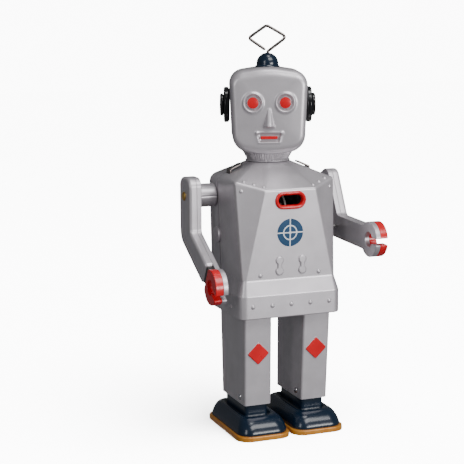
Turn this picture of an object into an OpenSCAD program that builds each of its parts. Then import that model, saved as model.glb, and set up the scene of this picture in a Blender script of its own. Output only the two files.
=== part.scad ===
// Clockwork tin walking robot: painted sheet-metal shells round a spring motor.
// Millimetres, +Z up. The robot faces -Y and its left hand is at +X.

/* [Sheet metal] */
// Thickness of the pressed tin shells
tin = 0.7; // [0.5:0.1:1]
// Thickness of the steel motor plates and leg hangers
plate_t = 0.8; // [0.6:0.1:1.2]

/* [Body] */
// Width of the body at the waist band
band_w = 52; // [46:1:62]
// Depth of the body at the waist band
band_d = 49.2; // [44:1:58]
// Height of the floor clearance below the waist band
band_z = 58.3; // [50:1:70]
// Height of the upright part of the waist band
band_h = 11; // [8:1:14]
// Corner radius of the waist band
band_r = 4; // [2:0.5:6]
// Height of the slope between waist band and chest
slope_h = 7; // [5:1:10]
// How far the chest stands in from the waist band at its foot
slope_in = 2.2; // [1:0.1:3]
// Height from the chest's foot to the shoulders
chest_h = 46.3; // [42:1:52]
// Width of the body at the shoulders
shoulder_w = 51; // [46:1:62]
// Radius of the rolled shoulder edges
shoulder_r = 5; // [3:0.5:7]
// Width of the flat front panel at its top edge
panel_top_w = 26; // [20:1:34]
// How far the chest panel's top edge is below the chamfer's corner
panel_drop = 3.6; // [2:0.2:6]
// Width of the front chamfers at the shoulders, front to back
chamfer_d = 7.2; // [4:0.2:10]
// Height of the neck seat above the shoulder corner
neck_rise = 7.3; // [5:0.5:10]
// Radius of the flat neck seat
neck_seat_r = 10.5; // [9:0.5:12]
// How far the joint between front and back shell lies behind the middle
seam_y = 6.5; // [5:0.5:9]

/* [Chest window] */
// Length of the spark window
window_w = 11.9; // [9:0.5:14]
// Height of the spark window
window_h = 4.7; // [3.5:0.1:6]
// Width of the raised rim round the window
window_rim = 1.9; // [1:0.1:2.4]
// How far the window's middle is below the panel's top edge
window_drop = 5.2; // [4.6:0.1:7]

/* [Head] */
// Width of the head
head_w = 37; // [32:1:44]
// Depth of the head
head_d = 33; // [28:1:40]
// Height of the head without dome and antenna
head_h = 41; // [36:1:49]
// Depth of the face shell, from the face to its seam
face_depth = 9; // [6:0.5:11]
// How far the chin is above the neck seat
chin_gap = 4.1; // [3.5:0.1:6]
// How far the neck's axis lies behind the body's middle
neck_y = 4.5; // [3:0.5:6]
// How far the head is turned towards the robot's right, degrees
head_yaw = 20; // [0:1:45]
// Bottom radius of the fluted neck collar
collar_r1 = 9.9; // [9:0.1:10.4]
// Top radius of the fluted neck collar
collar_r2 = 12.4; // [11.5:0.1:13]
// Radius of the hollow neck rivet
neck_rivet_r = 3; // [2:0.1:4]
// Spacing of the eyes
eye_gap = 15.4; // [13:0.2:19]
// Radius of the red part of the eyes
eye_r = 2.5; // [2:0.1:3.2]
// Radius of the larger ear disc
ear_r = 8.5; // [7:0.1:9.5]
// Radius of the ear button
ear_button_r = 5.3; // [4:0.1:6]
// Radius of the dome under the antenna
dome_r = 5.2; // [4:0.1:6.5]
// Width of the antenna's open diamond
antenna_w = 17; // [14:0.5:21]
// Height of the antenna's open diamond
antenna_h = 12.6; // [10:0.5:15]
// Diameter of the antenna wire
wire_d = 0.95; // [0.7:0.05:1.4]

/* [Arms] */
// Height of the shoulder rivets above the waist band's foot
shoulder_rise = 55.2; // [51:0.5:60]
// How far the shoulder rivets lie behind the body's middle
shoulder_y = 12; // [9:0.5:14]
// Gap between the body's side and the arm
arm_gap = 9; // [8:0.1:12]
// Thickness of the arm
arm_t = 6.2; // [4:0.1:7]
// Width of the upper arm
upper_arm_w = 15; // [12:0.5:17]
// How far the arm reaches above its rivet
arm_top = 9.2; // [7:0.2:11]
// Distance from shoulder rivet to elbow
upper_arm_l = 19.3; // [16:0.1:24]
// Bend at the elbow, degrees
elbow = 61; // [50:1:70]
// Width of the forearm
forearm_w = 11.5; // [9:0.5:13]
// Distance from elbow to the middle of the claw
forearm_l = 39.5; // [34:0.5:47]
// Outer radius of the claw
claw_r = 8.4; // [7:0.1:10]
// Radius of the hole in the claw
claw_hole_r = 3.55; // [3:0.05:4.5]
// Width of the claw's mouth
claw_mouth = 3; // [2:0.1:4]
// How far the left arm is raised forward, degrees
left_arm_raise = 27; // [0:1:60]
// Radius of the shoulder tube
shoulder_tube_r = 5.7; // [5:0.1:6.5]
// Radius of the shoulder rivet's shank
shoulder_rivet_r = 1.5; // [1:0.1:2]

/* [Legs and feet] */
// Gap between the two legs at the top
leg_gap = 16.7; // [16:0.1:19]
// Width of a leg at the top
leg_w = 13.9; // [12:0.1:15]
// Depth of a leg at the top
leg_d = 33; // [28:0.5:37]
// How far the legs' middle lies in front of the body's middle
leg_front = 4; // [2:0.5:6]
// Height of the legs' lower edge above the floor
leg_z = 14.8; // [13:0.1:17]
// How far a leg's front leans in from top to bottom
leg_toe_in = 2.4; // [0:0.2:3]
// How much narrower a leg is at the bottom
leg_taper = 0.5; // [0:0.1:1]
// Length of a foot
foot_l = 48.2; // [42:0.5:56]
// Width of a foot
foot_w = 27; // [24:0.5:28]
// Gap between the feet
foot_gap = 1.2; // [0.8:0.1:4]
// How far the toe stands in front of the body's middle
toe_front = 28.4; // [26:0.2:34]
// Thickness of the sole
sole_t = 2.4; // [1.8:0.1:3]
// Height of the shoe's upper face above the floor
shoe_h = 9.8; // [8:0.2:11]
// Height of the ankle rivets above the floor
ankle_z = 18; // [17:0.1:19]
// How far the ankle rivets lie in front of the body's middle
ankle_front = 12; // [10:0.5:13]
// Radius of the ankle rivets' shanks
ankle_rivet_r = 1.1; // [0.8:0.1:1.5]

/* [Motor] */
// Height of the winding arbor above the waist band's foot
arbor_rise = 35.7; // [35:0.1:38]
// Radius of the winding arbor
arbor_r = 1.5; // [1.2:0.1:1.8]
// Inside distance between the motor plates
plate_gap = 13.2; // [12.6:0.2:14]
// Height of the hip rod above the waist band's foot
hip_rise = 13.7; // [13:0.1:15]
// Radius of the hip rod
hip_r = 1.5; // [1.2:0.1:1.8]
// Greatest swing of a leg each way, degrees
leg_swing = 6; // [4:1:7]
// Tooth size of the great wheel and the crank pinion
mod_1 = 0.6; // [0.6:0.02:0.66]
// Tooth size of the crank wheel and the spark pinion
mod_2 = 0.5; // [0.46:0.02:0.52]
// Teeth of the great wheel
great_teeth = 36; // [34:2:38]
// Teeth of the crank pinion
crank_pinion_teeth = 10; // [10:1:11]
// Teeth of the crank wheel
crank_wheel_teeth = 40; // [36:2:40]
// Teeth of the spark pinion
spark_pinion_teeth = 8; // [8:1:9]
// Radius of the spark wheel
spark_r = 9.4; // [8:0.2:9.6]
// Span of the winding key's wings
key_span = 28; // [22:1:32]
// Radius of the round cap at the arbor's right end
bush_r = 4.8; // [3:0.1:6]
// Running clearance of a shaft in its hole
running = 0.06; // [0.03:0.01:0.09]
// Clearance between sliding faces
side_play = 0.3; // [0.3:0.05:0.5]

/* [Hidden] */
$fn = 48;
eps = 0.01;
joint = 0.6;
steel = "silver";
paint = "#b4afb4";
blue = "#1b3a50";
red = "#d63438";
gold = "#c88a2c";

// Body outline
band_top = band_z + band_h;
chest_z = band_top + slope_h;
chest_hw = band_w / 2 - slope_in;
chest_hd = band_d / 2 - slope_in;
corner_z = chest_z + chest_h;
panel_z = corner_z - panel_drop;
neck_z = corner_z + neck_rise;
shoulder_hw = shoulder_w / 2;
panel_y = -chest_hd - 1;
dot_r = 1.1;
window_z = panel_z - window_drop;
function wall_x(z) = chest_hw + (shoulder_hw - chest_hw) * (z - chest_z) / (corner_z - 1 - chest_z);
function panel_face(z) = -chest_hd - (z - chest_z) / (panel_z - chest_z);

// Head, measured from the neck's axis
head_z0 = neck_z + chin_gap;
head_z1 = head_z0 + head_h;
ear_z = head_z0 + head_h * 0.56;
eye_z = head_z0 + head_h * 0.595;
face_y = -head_d / 2;
ear_pin_r = 1.2;
ear_disc_t = 2.6;
ear_button_t = 1.6;
collar_h = chin_gap + tin + 2;
nose_z = eye_z - 4;
nose_h = 8;
mouth_w = 8.6;
mouth_h = 1.6;
mouth_z = head_z0 + 7.6;

// Arms
shoulder_z = band_z + shoulder_rise;
arm_in = wall_x(shoulder_z) + arm_gap;
arm_out = arm_in + arm_t;
arm_seam = arm_in + 0.38 * arm_t;
forearm_dir = [-sin(elbow), -cos(elbow)];
claw_at = [forearm_dir.x * forearm_l, -upper_arm_l + forearm_dir.y * forearm_l];
left_claw_angle = elbow + left_arm_raise;
left_claw_y = shoulder_y - upper_arm_l * sin(left_arm_raise) - forearm_l * sin(left_claw_angle);

// The whole object's middle is the origin, so the body stands behind it
lever_out = 4;
key_neck = 1.8;
body_y = -(left_claw_y - claw_r + band_d / 2 + lever_out) / 2;

// Legs and feet
leg_top = band_z + 3.7;
leg_in = leg_gap / 2;
leg_mid_y = -leg_front;
leg_front_y = leg_mid_y - leg_d / 2;
leg_back_y = leg_mid_y + leg_d / 2;
foot_in = foot_gap / 2;
toe_y = -toe_front;
heel_y = toe_y + foot_l;
block_gap = 0.4;
block_top = ankle_z + 2.4;
badge_half = 3.6;

// Motor
plate_x = plate_gap / 2;
arbor_y = seam_y;
arbor_z = band_z + arbor_rise;
train_1 = mod_1 * (great_teeth + crank_pinion_teeth) / 2;
train_2 = mod_2 * (crank_wheel_teeth + spark_pinion_teeth) / 2;
crank_angle = 170;
crank_y = arbor_y + train_1 * cos(crank_angle);
crank_z = arbor_z + train_1 * sin(crank_angle);
spark_angle = 115;
spark_y = crank_y + train_2 * cos(spark_angle);
spark_z = crank_z + train_2 * sin(spark_angle);
hip_y = crank_y;
hip_z = band_z + hip_rise;
crank_throw = (crank_z - hip_z) * sin(leg_swing);
crank_pin_r = 0.9;
hanger_x = leg_in + tin;
shaft_r = 1.2;
spark_shaft_r = 0.9;
spark_x = -1.5;
spark_t = 0.8;
flint_angle = 62;
flint_l = 6.2;
flint_r = 1;
crank_wheel_x = 1.1;
great_x = 4.1;
pillars = [[-17, 82], [12, 77], [17, 108], [1, 116.5]];
pillar_r = 1.6;
pillar_pin_r = pillar_r * 0.7;
end_pin_r = arbor_r * 0.7;
lever_pivot = 2;
lever_reach = 16.5;
lever_x = crank_wheel_x;
strap_z = 118.2;
tab_x = 20.6;
tab_w = 4.6;
tab_y = 1;
tab_l = 6.8;
tab_lean = 17;
tab_top = neck_z - (tab_x - neck_seat_r) * tan(tab_lean) + 0.9;

// ---- helpers ----

// Moves the robot so that the whole object's middle stands over the origin
module placed() {
    translate([0, body_y, 0]) children();
}

// Extrudes a side-view outline (x = back, y = up) from x0 towards +X
module side_cut(x0, t) {
    translate([x0, 0, 0]) rotate([90, 0, 90]) linear_extrude(t) children();
}

// Shaft along X at a side-view point
module rod_x(x0, x1, y, z, r) {
    translate([x0, y, z]) rotate([0, 90, 0]) cylinder(h = x1 - x0, r = r);
}

// Rounded rectangle between two corners
module round_rect(a, b, r) {
    translate([a.x + r, a.y]) square([b.x - a.x - 2 * r, b.y - a.y]);
    translate([a.x, a.y + r]) square([b.x - a.x, b.y - a.y - 2 * r]);
    for (x = [a.x + r, b.x - r], y = [a.y + r, b.y - r]) translate([x, y]) circle(r);
}

// Domed rivet head along +X
module rivet_head(r, h) {
    ball_r = (r * r + h * h) / (2 * h);
    rotate([0, 90, 0]) rotate_extrude() intersection() {
        translate([0, h - ball_r]) circle(ball_r, $fn = 96);
        square([r, h]);
    }
}

// Toothed wheel in side view: straight-flanked teeth with backlash
function gear_ring(teeth, m, phase) = [
    for (i = [0 : teeth - 1], k = [0 : 3])
        let (
            pitch = 360 / teeth,
            a = phase + i * pitch + [-0.27, -0.11, 0.11, 0.27][k] * pitch,
            r = m * teeth / 2 + ((k == 1 || k == 2) ? 0.85 : -1.1) * m
        )
        r * [cos(a), sin(a)]
];

module gear(x0, t, y, z, teeth, m, phase, bore) {
    side_cut(x0, t) translate([y, z]) difference() {
        polygon(gear_ring(teeth, m, phase));
        circle(bore);
    }
}

// ---- body ----

// Outside of the chest and shoulders, drawn in by t all round
module chest_solid(t) {
    hw = chest_hw - t;
    hd = chest_hd - t;
    sx = shoulder_hw - t;
    roof = t * 1.05;
    edge_y = panel_y + chamfer_d;
    back_y = hd - shoulder_r;
    hull() {
        translate([-hw, -hd, chest_z - joint]) cube([2 * hw, 2 * hd, joint]);
        translate([-panel_top_w / 2 + t / 2, panel_y + t, panel_z - t / 2]) cube([panel_top_w - t, 1, eps]);
        for (s = [-1, 1]) {
            translate([s * (sx - 0.5), edge_y + t, corner_z - roof - 0.5]) cube([1, 0.4, 1], center = true);
            translate([s * (sx - shoulder_r), edge_y + shoulder_r, corner_z - 1 - roof])
                rotate([-90, 0, 0]) cylinder(h = back_y - shoulder_r - edge_y, r = shoulder_r, $fn = 24);
            translate([s * (sx - shoulder_r), back_y, corner_z - 1 - roof]) sphere(shoulder_r, $fn = 24);
        }
        translate([0, neck_y, neck_z - roof - 0.5]) cylinder(h = 0.5, r = neck_seat_r, $fn = 32);
    }
}

// Outside of the slope above the waist band
module slope_solid(t) {
    hull() {
        translate([-band_w / 2 + t + 0.6, -band_d / 2 + t + 0.6, band_top - joint])
            cube([band_w - 2 * t - 1.2, band_d - 2 * t - 1.2, joint]);
        translate([-chest_hw + t - 0.05, -chest_hd + t - 0.05, chest_z - joint / 2])
            cube([2 * (chest_hw - t) + 0.1, 2 * (chest_hd - t) + 0.1, joint / 2]);
    }
}

module band_solid(t, z0) {
    translate([0, 0, z0]) linear_extrude(band_top - z0)
        round_rect([-band_w / 2 + t, -band_d / 2 + t], [band_w / 2 - t, band_d / 2 - t], band_r - t);
}

module window_hole(grow, y0, depth) {
    r = window_h / 2 + grow;
    translate([0, y0, window_z]) rotate([-90, 0, 0]) linear_extrude(depth)
        round_rect([-window_w / 2 - grow, -r], [window_w / 2 + grow, r], r - eps);
}

module body_skin() {
    difference() {
        union() {
            band_solid(0, band_z);
            slope_solid(0);
            chest_solid(0);
        }
        band_solid(tin, band_z - 1);
        slope_solid(tin);
        chest_solid(tin);
        window_hole(0.4, panel_y - 2, 5);
        for (s = [-1, 1]) {
            wall = s * shoulder_hw;
            rod_x(wall - 4, wall + 4, shoulder_y, shoulder_z, shoulder_rivet_r + running);
            rod_x(wall - 5, wall + 3, arbor_y, arbor_z, arbor_r + 0.5);
            translate([s * tab_x, tab_y + tab_w / 2, corner_z + 4])
                cube([1.4, tab_w + 0.4, 8], center = true);
        }
        translate([0, neck_y, neck_z - 3]) cylinder(h = 5, r = neck_rivet_r + 0.2);
        // slot for the stop lever
        translate([lever_x - 0.9, chest_hd - 3, pillars[lever_pivot].y - 3.6]) cube([1.8, 5, 7.2]);
    }
}

module body_front_shell() {
    color(paint) placed() union() {
        difference() {
            body_skin();
            translate([-60, seam_y, 0]) cube([120, 60, 200]);
        }
        for (i = [-2 : 2]) translate([i * band_w * 0.188, -band_d / 2 + 0.5, band_z + 6.1])
            sphere(dot_r, $fn = 24);
        for (s = [-1, 1]) translate([s * chest_hw * 0.65, -chest_hd + 0.3, chest_z + 2])
            sphere(dot_r, $fn = 24);
    }
    color(red) placed() difference() {
        window_hole(window_rim, panel_face(window_z) - 0.5, 0.9);
        window_hole(0, panel_face(window_z) - 2, 4);
    }
}

module body_back_shell() {
    color(paint) placed() difference() {
        body_skin();
        translate([-60, seam_y - 60, 0]) cube([120, 60, 200]);
    }
}

module waist_rivets() {
    color(steel) placed() for (s = [-1, 1], y = [-12.5, 0])
        translate([s * (band_w / 2), y, band_z + 4.5]) mirror([s < 0 ? 1 : 0, 0, 0]) rivet_head(1.2, 0.5);
}

// ---- motor ----

module motor_plate(s) {
    x0 = s > 0 ? plate_x : -plate_x - plate_t;
    color(steel) placed() side_cut(x0, plate_t) difference() {
        polygon([[-19.5, 68], [-4, 66], [18, 72], [20, 100], [20, strap_z], [-14, strap_z], [-20.5, 108]]);
        for (p = pillars) translate(p) circle(pillar_pin_r);
        translate([hip_y, hip_z]) circle(hip_r);
        translate([arbor_y, arbor_z]) circle(arbor_r + running);
        translate([crank_y, crank_z]) circle(shaft_r + running);
        translate([spark_y, spark_z]) circle(spark_shaft_r + running);
    }
}

module motor_plate_right() { motor_plate(-1); }
module motor_plate_left() { motor_plate(1); }

module motor_pillars() {
    color(steel) placed() for (p = pillars) {
        rod_x(-plate_x, plate_x, p.x, p.y, pillar_r);
        rod_x(-plate_x - plate_t - 0.4, plate_x + plate_t + 0.4, p.x, p.y, pillar_pin_r);
    }
}

// Cross strap on the plates' top edges, with ends folded over on the shoulders
module motor_strap() {
    color(steel) placed() {
        translate([-tab_x - 0.4, tab_y, strap_z]) cube([2 * tab_x + 0.8, 8, plate_t]);
        for (s = [-1, 1]) {
            translate([s * tab_x - 0.4, tab_y, strap_z]) cube([plate_t, tab_w, tab_top - strap_z]);
            translate([s * tab_x, tab_y, tab_top - 0.4]) rotate([0, s * tab_lean, 0])
                translate([s > 0 ? -tab_l : 0, 0, 0]) cube([tab_l, tab_w, plate_t]);
        }
    }
}

module hip_rod() {
    end = hanger_x + plate_t + side_play;
    color(steel) placed() {
        rod_x(-end - 1.5, end + 1.5, hip_y, hip_z, hip_r);
        for (s = [-1, 1]) rod_x(s > 0 ? end : -end - 1, s > 0 ? end + 1 : -end, hip_y, hip_z, hip_r * 1.9);
    }
}

// Flat spiral of spring steel round the arbor
module mainspring() {
    turns = 6;
    r0 = arbor_r + 1;
    r1 = mod_1 * great_teeth / 2 - 1;
    w = 0.45;
    steps = 150;
    function coil(i, side) = let (a = i * turns * 360 / steps)
        (r0 + (r1 - r0) * i / steps + side * w / 2) * [cos(a), sin(a)];
    color("slategray") placed() side_cut(-plate_x + 0.5, 3.6) translate([arbor_y, arbor_z]) polygon(concat(
        [for (i = [0 : steps]) coil(i, 1)],
        [for (i = [steps : -1 : 0]) coil(i, -1)]
    ));
}

// Frame of the flint parts: +X points away from the spark wheel's axis
module flint_frame() {
    placed() translate([spark_x, spark_y, spark_z]) rotate([flint_angle, 0, 0]) rotate([0, 0, 90]) children();
}

module flint_holder() {
    color("goldenrod") flint_frame() {
        difference() {
            translate([spark_r + 1.2, 0, 0]) rotate([0, 90, 0])
                cylinder(h = flint_l - 1.2, r = flint_r + tin);
            translate([spark_r, 0, 0]) rotate([0, 90, 0]) cylinder(h = 8, r = flint_r + running);
        }
        translate([spark_r + 2.2, 1.2, -0.9]) cube([3, plate_x + spark_x - 1.2, 1.8]);
    }
}

module flint() {
    color("dimgray") flint_frame() translate([spark_r + side_play, 0, 0])
        rotate([0, 90, 0]) cylinder(h = flint_l, r = flint_r);
}

module flint_spring() {
    color(steel) flint_frame() translate([spark_r + side_play + flint_l, -1.2, -1.2])
        cube([0.3, plate_x + spark_x + 1.2, 2.4]);
}

module neck_rivet() {
    color(steel) placed() translate([0, neck_y, neck_z]) difference() {
        union() {
            translate([0, 0, -1.9]) cylinder(h = 1.0, r = neck_rivet_r + 2);
            translate([0, 0, -1.9]) cylinder(h = 1.9 + 2 * side_play + tin + 0.7, r = neck_rivet_r);
            translate([0, 0, 2 * side_play + tin]) cylinder(h = 0.7, r = neck_rivet_r + 2);
        }
        translate([0, 0, -3]) cylinder(h = 8, r = neck_rivet_r - 0.7);
    }
}

// Round cap on the right wall that carries the arbor's far end
module arbor_bush() {
    x = wall_x(arbor_z) + 0.22;
    color(paint) placed() difference() {
        union() {
            translate([-x, arbor_y, arbor_z]) mirror([1, 0, 0]) rivet_head(bush_r, 1.3);
            rod_x(-x - 0.2, -x + tin + 1, arbor_y, arbor_z, arbor_r + 0.4);
        }
        rod_x(-x - 0.5, -x + 4, arbor_y, arbor_z, end_pin_r + running);
    }
}

// Start and stop lever: turns on a pillar and brakes the crank wheel
module stop_lever() {
    p = pillars[lever_pivot];
    color(steel) placed() side_cut(lever_x - 0.5, 1) difference() {
        union() {
            translate(p) circle(pillar_r + 1.4);
            translate([p.x, p.y - 0.9]) square([band_d / 2 + lever_out - 2 - p.x, 1.8]);
            translate([band_d / 2 + lever_out - 2, p.y]) circle(2);
            translate(p) rotate(171) translate([0, -0.8]) square([lever_reach, 1.6]);
            translate(p) rotate(171) translate([lever_reach, 0.9]) circle(1.4);
        }
        translate(p) circle(pillar_r + running);
    }
}

module winding_arbor() {
    x = wall_x(arbor_z) + 1;
    color(steel) placed() {
        rod_x(-plate_x - plate_t - 0.6, x + key_neck, arbor_y, arbor_z, arbor_r);
        rod_x(-x + 1, -plate_x, arbor_y, arbor_z, end_pin_r);
    }
}

// Butterfly key in the gap between body and arm
module winding_key() {
    x = wall_x(arbor_z) + 1;
    wing = arm_in - x - key_neck - 1.2;
    color(steel) placed() translate([x, arbor_y, arbor_z]) rotate([-14, 0, 0]) difference() {
        union() {
            rotate([0, 90, 0]) cylinder(h = key_neck + 2.4, r = arbor_r + 0.9);
            translate([key_neck, 0, -0.5]) linear_extrude(1) for (s = [-1, 1])
                round_rect([0, s > 0 ? 0.2 : -key_span / 2], [wing, s > 0 ? key_span / 2 : -0.2], 2);
        }
        translate([-1, 0, 0]) rotate([0, 90, 0]) cylinder(h = 1 + key_neck, r = arbor_r);
        for (s = [-1, 1]) translate([key_neck + wing / 2, s * key_span * 0.3, 0])
            cylinder(h = 4, r = wing * 0.24, center = true);
    }
}

module great_wheel() {
    color("goldenrod") placed()
        gear(great_x - 0.7, 1.4, arbor_y, arbor_z, great_teeth, mod_1, crank_angle, arbor_r);
}

module ratchet_wheel() {
    teeth = 14;
    r = 5;
    ring = [for (i = [0 : teeth - 1], k = [0, 1]) let (a = (i + k * 0.12) * 360 / teeth)
        (r - k * 0.9) * [cos(a), sin(a)]];
    color(steel) placed() side_cut(great_x - 1.7, 1) translate([arbor_y, arbor_z]) difference() {
        polygon(ring);
        circle(arbor_r);
    }
}

module crank_shaft() {
    end = plate_x + plate_t + side_play;
    color(steel) placed() rod_x(-end, end, crank_y, crank_z, shaft_r);
}

module crank_pinion() {
    color(steel) placed() gear(great_x - 0.9, 1.8, crank_y, crank_z, crank_pinion_teeth, mod_1,
        crank_angle + 180 + 180 / crank_pinion_teeth, shaft_r);
}

module crank_wheel() {
    color("goldenrod") placed()
        gear(crank_wheel_x - 0.5, 1, crank_y, crank_z, crank_wheel_teeth, mod_2, spark_angle, shaft_r);
}

module crank_disc(s) {
    x0 = plate_x + plate_t + side_play;
    color(steel) placed() scale([s, 1, 1]) {
        rod_x(x0, x0 + 0.8, crank_y, crank_z, crank_throw + 2.4);
        rod_x(x0 + 0.8, hanger_x + plate_t + 1.2, crank_y, crank_z + s * crank_throw, crank_pin_r);
    }
}

module right_crank_disc() { crank_disc(-1); }
module left_crank_disc() { crank_disc(1); }

module spark_shaft() {
    end = plate_x + plate_t + 0.6;
    color(steel) placed() rod_x(-end, end, spark_y, spark_z, spark_shaft_r);
}

module spark_pinion() {
    color(steel) placed() gear(crank_wheel_x - 0.7, 1.4, spark_y, spark_z, spark_pinion_teeth, mod_2,
        spark_angle + 180 + 180 / spark_pinion_teeth, spark_shaft_r);
}

module spark_wheel() {
    color("gray") placed() side_cut(spark_x - spark_t / 2, spark_t)
        translate([spark_y, spark_z]) difference() {
        circle(spark_r);
        circle(spark_shaft_r);
        for (a = [0 : 72 : 359]) rotate(a) translate([spark_r * 0.55, 0]) circle(spark_r * 0.16);
    }
}

// ---- head ----

module headed() {
    placed() translate([0, neck_y, 0]) rotate([0, 0, -head_yaw]) children();
}

module head_solid(t) {
    top_r = 9 - t;
    low_r = 8 - t;
    hw = head_w / 2 - t;
    hd = head_d / 2 - t;
    hull() for (sx = [-1, 1], sy = [-1, 1]) {
        translate([sx * (hw - top_r), sy * (hd - top_r), head_z1 - 2.2 - t - top_r]) sphere(top_r, $fn = 32);
        translate([sx * (hw - 1.8 - low_r), sy * (hd - 0.8 - low_r), head_z0 + t + low_r])
            sphere(low_r, $fn = 32);
        translate([0, 0, head_z1 - t - 1]) cylinder(h = 1, r = 6);
    }
}

module head_skin() {
    difference() {
        head_solid(0);
        head_solid(tin);
        translate([0, 0, head_z0 - 1]) cylinder(h = 4, r = collar_r2 - 0.5);
        rod_x(-head_w, head_w, 0, ear_z, ear_pin_r);
        translate([0, 0, head_z1 - 3]) cylinder(h = 5, r = 1.2);
    }
}

module head_front_shell() {
    color(paint) headed() {
        difference() {
            head_skin();
            translate([-40, face_y + face_depth, 0]) cube([80, 60, 220]);
        }
        for (s = [-1, 1]) translate([s * eye_gap / 2, face_y, eye_z]) rotate([90, 0, 0]) rotate_extrude()
            translate([eye_r + 1.5, 0]) circle(0.9, $fn = 24);
        // nose
        hull() {
            translate([0, face_y + 0.4, nose_z]) sphere(0.7, $fn = 16);
            for (x = [-1.6, 1.6]) translate([x, face_y + 0.2, nose_z - nose_h]) sphere(0.7, $fn = 16);
            translate([0, face_y - 2, nose_z - nose_h + 0.4]) sphere(0.9, $fn = 16);
        }
    }
    color(red) headed() {
        for (s = [-1, 1]) translate([s * eye_gap / 2, face_y + 0.5, eye_z])
            rotate([90, 0, 0]) cylinder(h = 1.1, r = eye_r);
        translate([-mouth_w / 2, face_y - 0.3, mouth_z]) cube([mouth_w, 1.6, mouth_h]);
    }
}

module head_back_shell() {
    color(paint) headed() difference() {
        head_skin();
        translate([-40, face_y + face_depth - 60, 0]) cube([80, 60, 220]);
    }
}

module neck_collar() {
    z0 = side_play;
    color(paint) headed() translate([0, 0, neck_z]) difference() {
        union() {
            translate([0, 0, z0]) cylinder(h = chin_gap - z0, r1 = collar_r1, r2 = collar_r2);
            translate([0, 0, chin_gap - eps]) cylinder(h = collar_h - chin_gap, r = collar_r2 - 0.52);
        }
        translate([0, 0, z0 + tin])
            cylinder(h = chin_gap - z0 - tin, r1 = collar_r1 - 1, r2 = collar_r2 - 1.4);
        translate([0, 0, chin_gap - 2 * eps]) cylinder(h = collar_h, r = collar_r2 - 1.4);
        cylinder(h = 3, r = neck_rivet_r + running);
    }
}

module ear_disc(s) {
    color("#18181c") headed() scale([s, 1, 1]) difference() {
        rod_x(head_w / 2, head_w / 2 + ear_disc_t, 0, ear_z, ear_r);
        rod_x(head_w / 2 - 1, head_w / 2 + ear_disc_t + 1, 0, ear_z, ear_pin_r);
    }
}

module ear_button(s) {
    color("#18181c") headed() scale([s, 1, 1]) {
        rod_x(head_w / 2 + ear_disc_t, head_w / 2 + ear_disc_t + ear_button_t, 0, ear_z, ear_button_r);
        rod_x(head_w / 2 - 1.6, head_w / 2 + ear_disc_t, 0, ear_z, ear_pin_r);
    }
}

module right_ear_disc() { ear_disc(-1); }
module left_ear_disc() { ear_disc(1); }
module right_ear_button() { ear_button(-1); }
module left_ear_button() { ear_button(1); }

module antenna_dome() {
    color(blue) headed() translate([0, 0, head_z1]) difference() {
        union() {
            cylinder(h = 0.8, r = dome_r + 0.6);
            translate([0, 0, 0.8]) intersection() {
                scale(dome_r) sphere(1);
                cylinder(h = dome_r * 2, r = dome_r * 2);
            }
        }
        translate([0, 0, -1]) intersection() {
            translate([0, 0, 1.2]) scale(dome_r - tin) sphere(1);
            cylinder(h = dome_r * 2, r = dome_r * 2);
        }
        cylinder(h = dome_r * 3, r = wire_d / 2);
    }
}

// Stretch of wire between two points, with a round end
module wire(a, b) {
    d = b - a;
    translate(a) rotate([0, acos(d.z / norm(d)), atan2(d.y, d.x)])
        cylinder(h = norm(d), d = wire_d, $fn = 24);
    translate(b) sphere(d = wire_d + 0.08, $fn = 24);
}

module antenna_wire() {
    z0 = head_z1 + dome_r + 0.3;
    path = [
        [0, 0, z0 - 4], [0, 0, z0 + 0.9], [antenna_w / 2, 0, z0 + 0.9 + antenna_h * 0.52],
        [0.4, 0, z0 + 0.9 + antenna_h], [-antenna_w / 2, 0, z0 + 0.9 + antenna_h * 0.52],
        [-1.3, 0, z0 + 1.6],
    ];
    color(steel) headed() for (i = [1 : len(path) - 1]) wire(path[i - 1], path[i]);
}

// ---- arms ----

// Side view of an arm round its rivet, drawn in by t; the claw keeps its mouth open
module arm_outline(t) {
    w = upper_arm_w / 2 - t;
    f = forearm_w / 2 - t;
    r = 4 - t;
    difference() {
        union() {
            round_rect([-w, -upper_arm_l + 2], [w, arm_top - t], r);
            translate([0, -upper_arm_l + 1.2]) circle(w);
            translate([0, -upper_arm_l]) rotate(270 - elbow) translate([0, -f]) square([forearm_l, 2 * f]);
            translate(claw_at) circle(claw_r - t);
        }
        translate(claw_at) circle(claw_hole_r + t);
        translate(claw_at) rotate(270 - elbow) translate([0, -claw_mouth / 2 - t])
            square([claw_r * 2, claw_mouth + 2 * t]);
    }
}

// Region of the claw, which is painted red
module claw_zone() {
    translate(claw_at) rotate(270 - elbow) translate([-claw_r - 1, -12]) square([30, 24]);
}

// Places an arm drawn on the +X side: s = -1 for the right arm
module armed(s) {
    placed() scale([s, 1, 1]) translate([0, shoulder_y, shoulder_z])
        rotate([s > 0 ? -left_arm_raise : 0, 0, 0]) children();
}

module arm_half(x0, t, floor_x) {
    difference() {
        side_cut(x0, t) arm_outline(0);
        side_cut(floor_x, t) arm_outline(tin);
        rod_x(x0 - 1, x0 + t + 1, 0, 0, shoulder_rivet_r);
    }
}

module arm_outer(s) {
    t = arm_out - arm_seam;
    color(paint) armed(s) difference() {
        arm_half(arm_seam, t, arm_seam - tin);
        side_cut(arm_seam - 1, t + 2) claw_zone();
    }
    color(red) armed(s) intersection() {
        arm_half(arm_seam, t, arm_seam - tin);
        side_cut(arm_seam - 1, t + 2) claw_zone();
    }
}

module arm_inner(s) {
    color(paint) armed(s) arm_half(arm_in, arm_seam - arm_in, arm_in + tin);
}

module shoulder_tube(s) {
    color(paint) armed(s) difference() {
        rod_x(wall_x(shoulder_z) + side_play, arm_in, 0, 0, shoulder_tube_r);
        rod_x(wall_x(shoulder_z) - 1, arm_in + 1, 0, 0, shoulder_tube_r - tin);
    }
}

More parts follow.
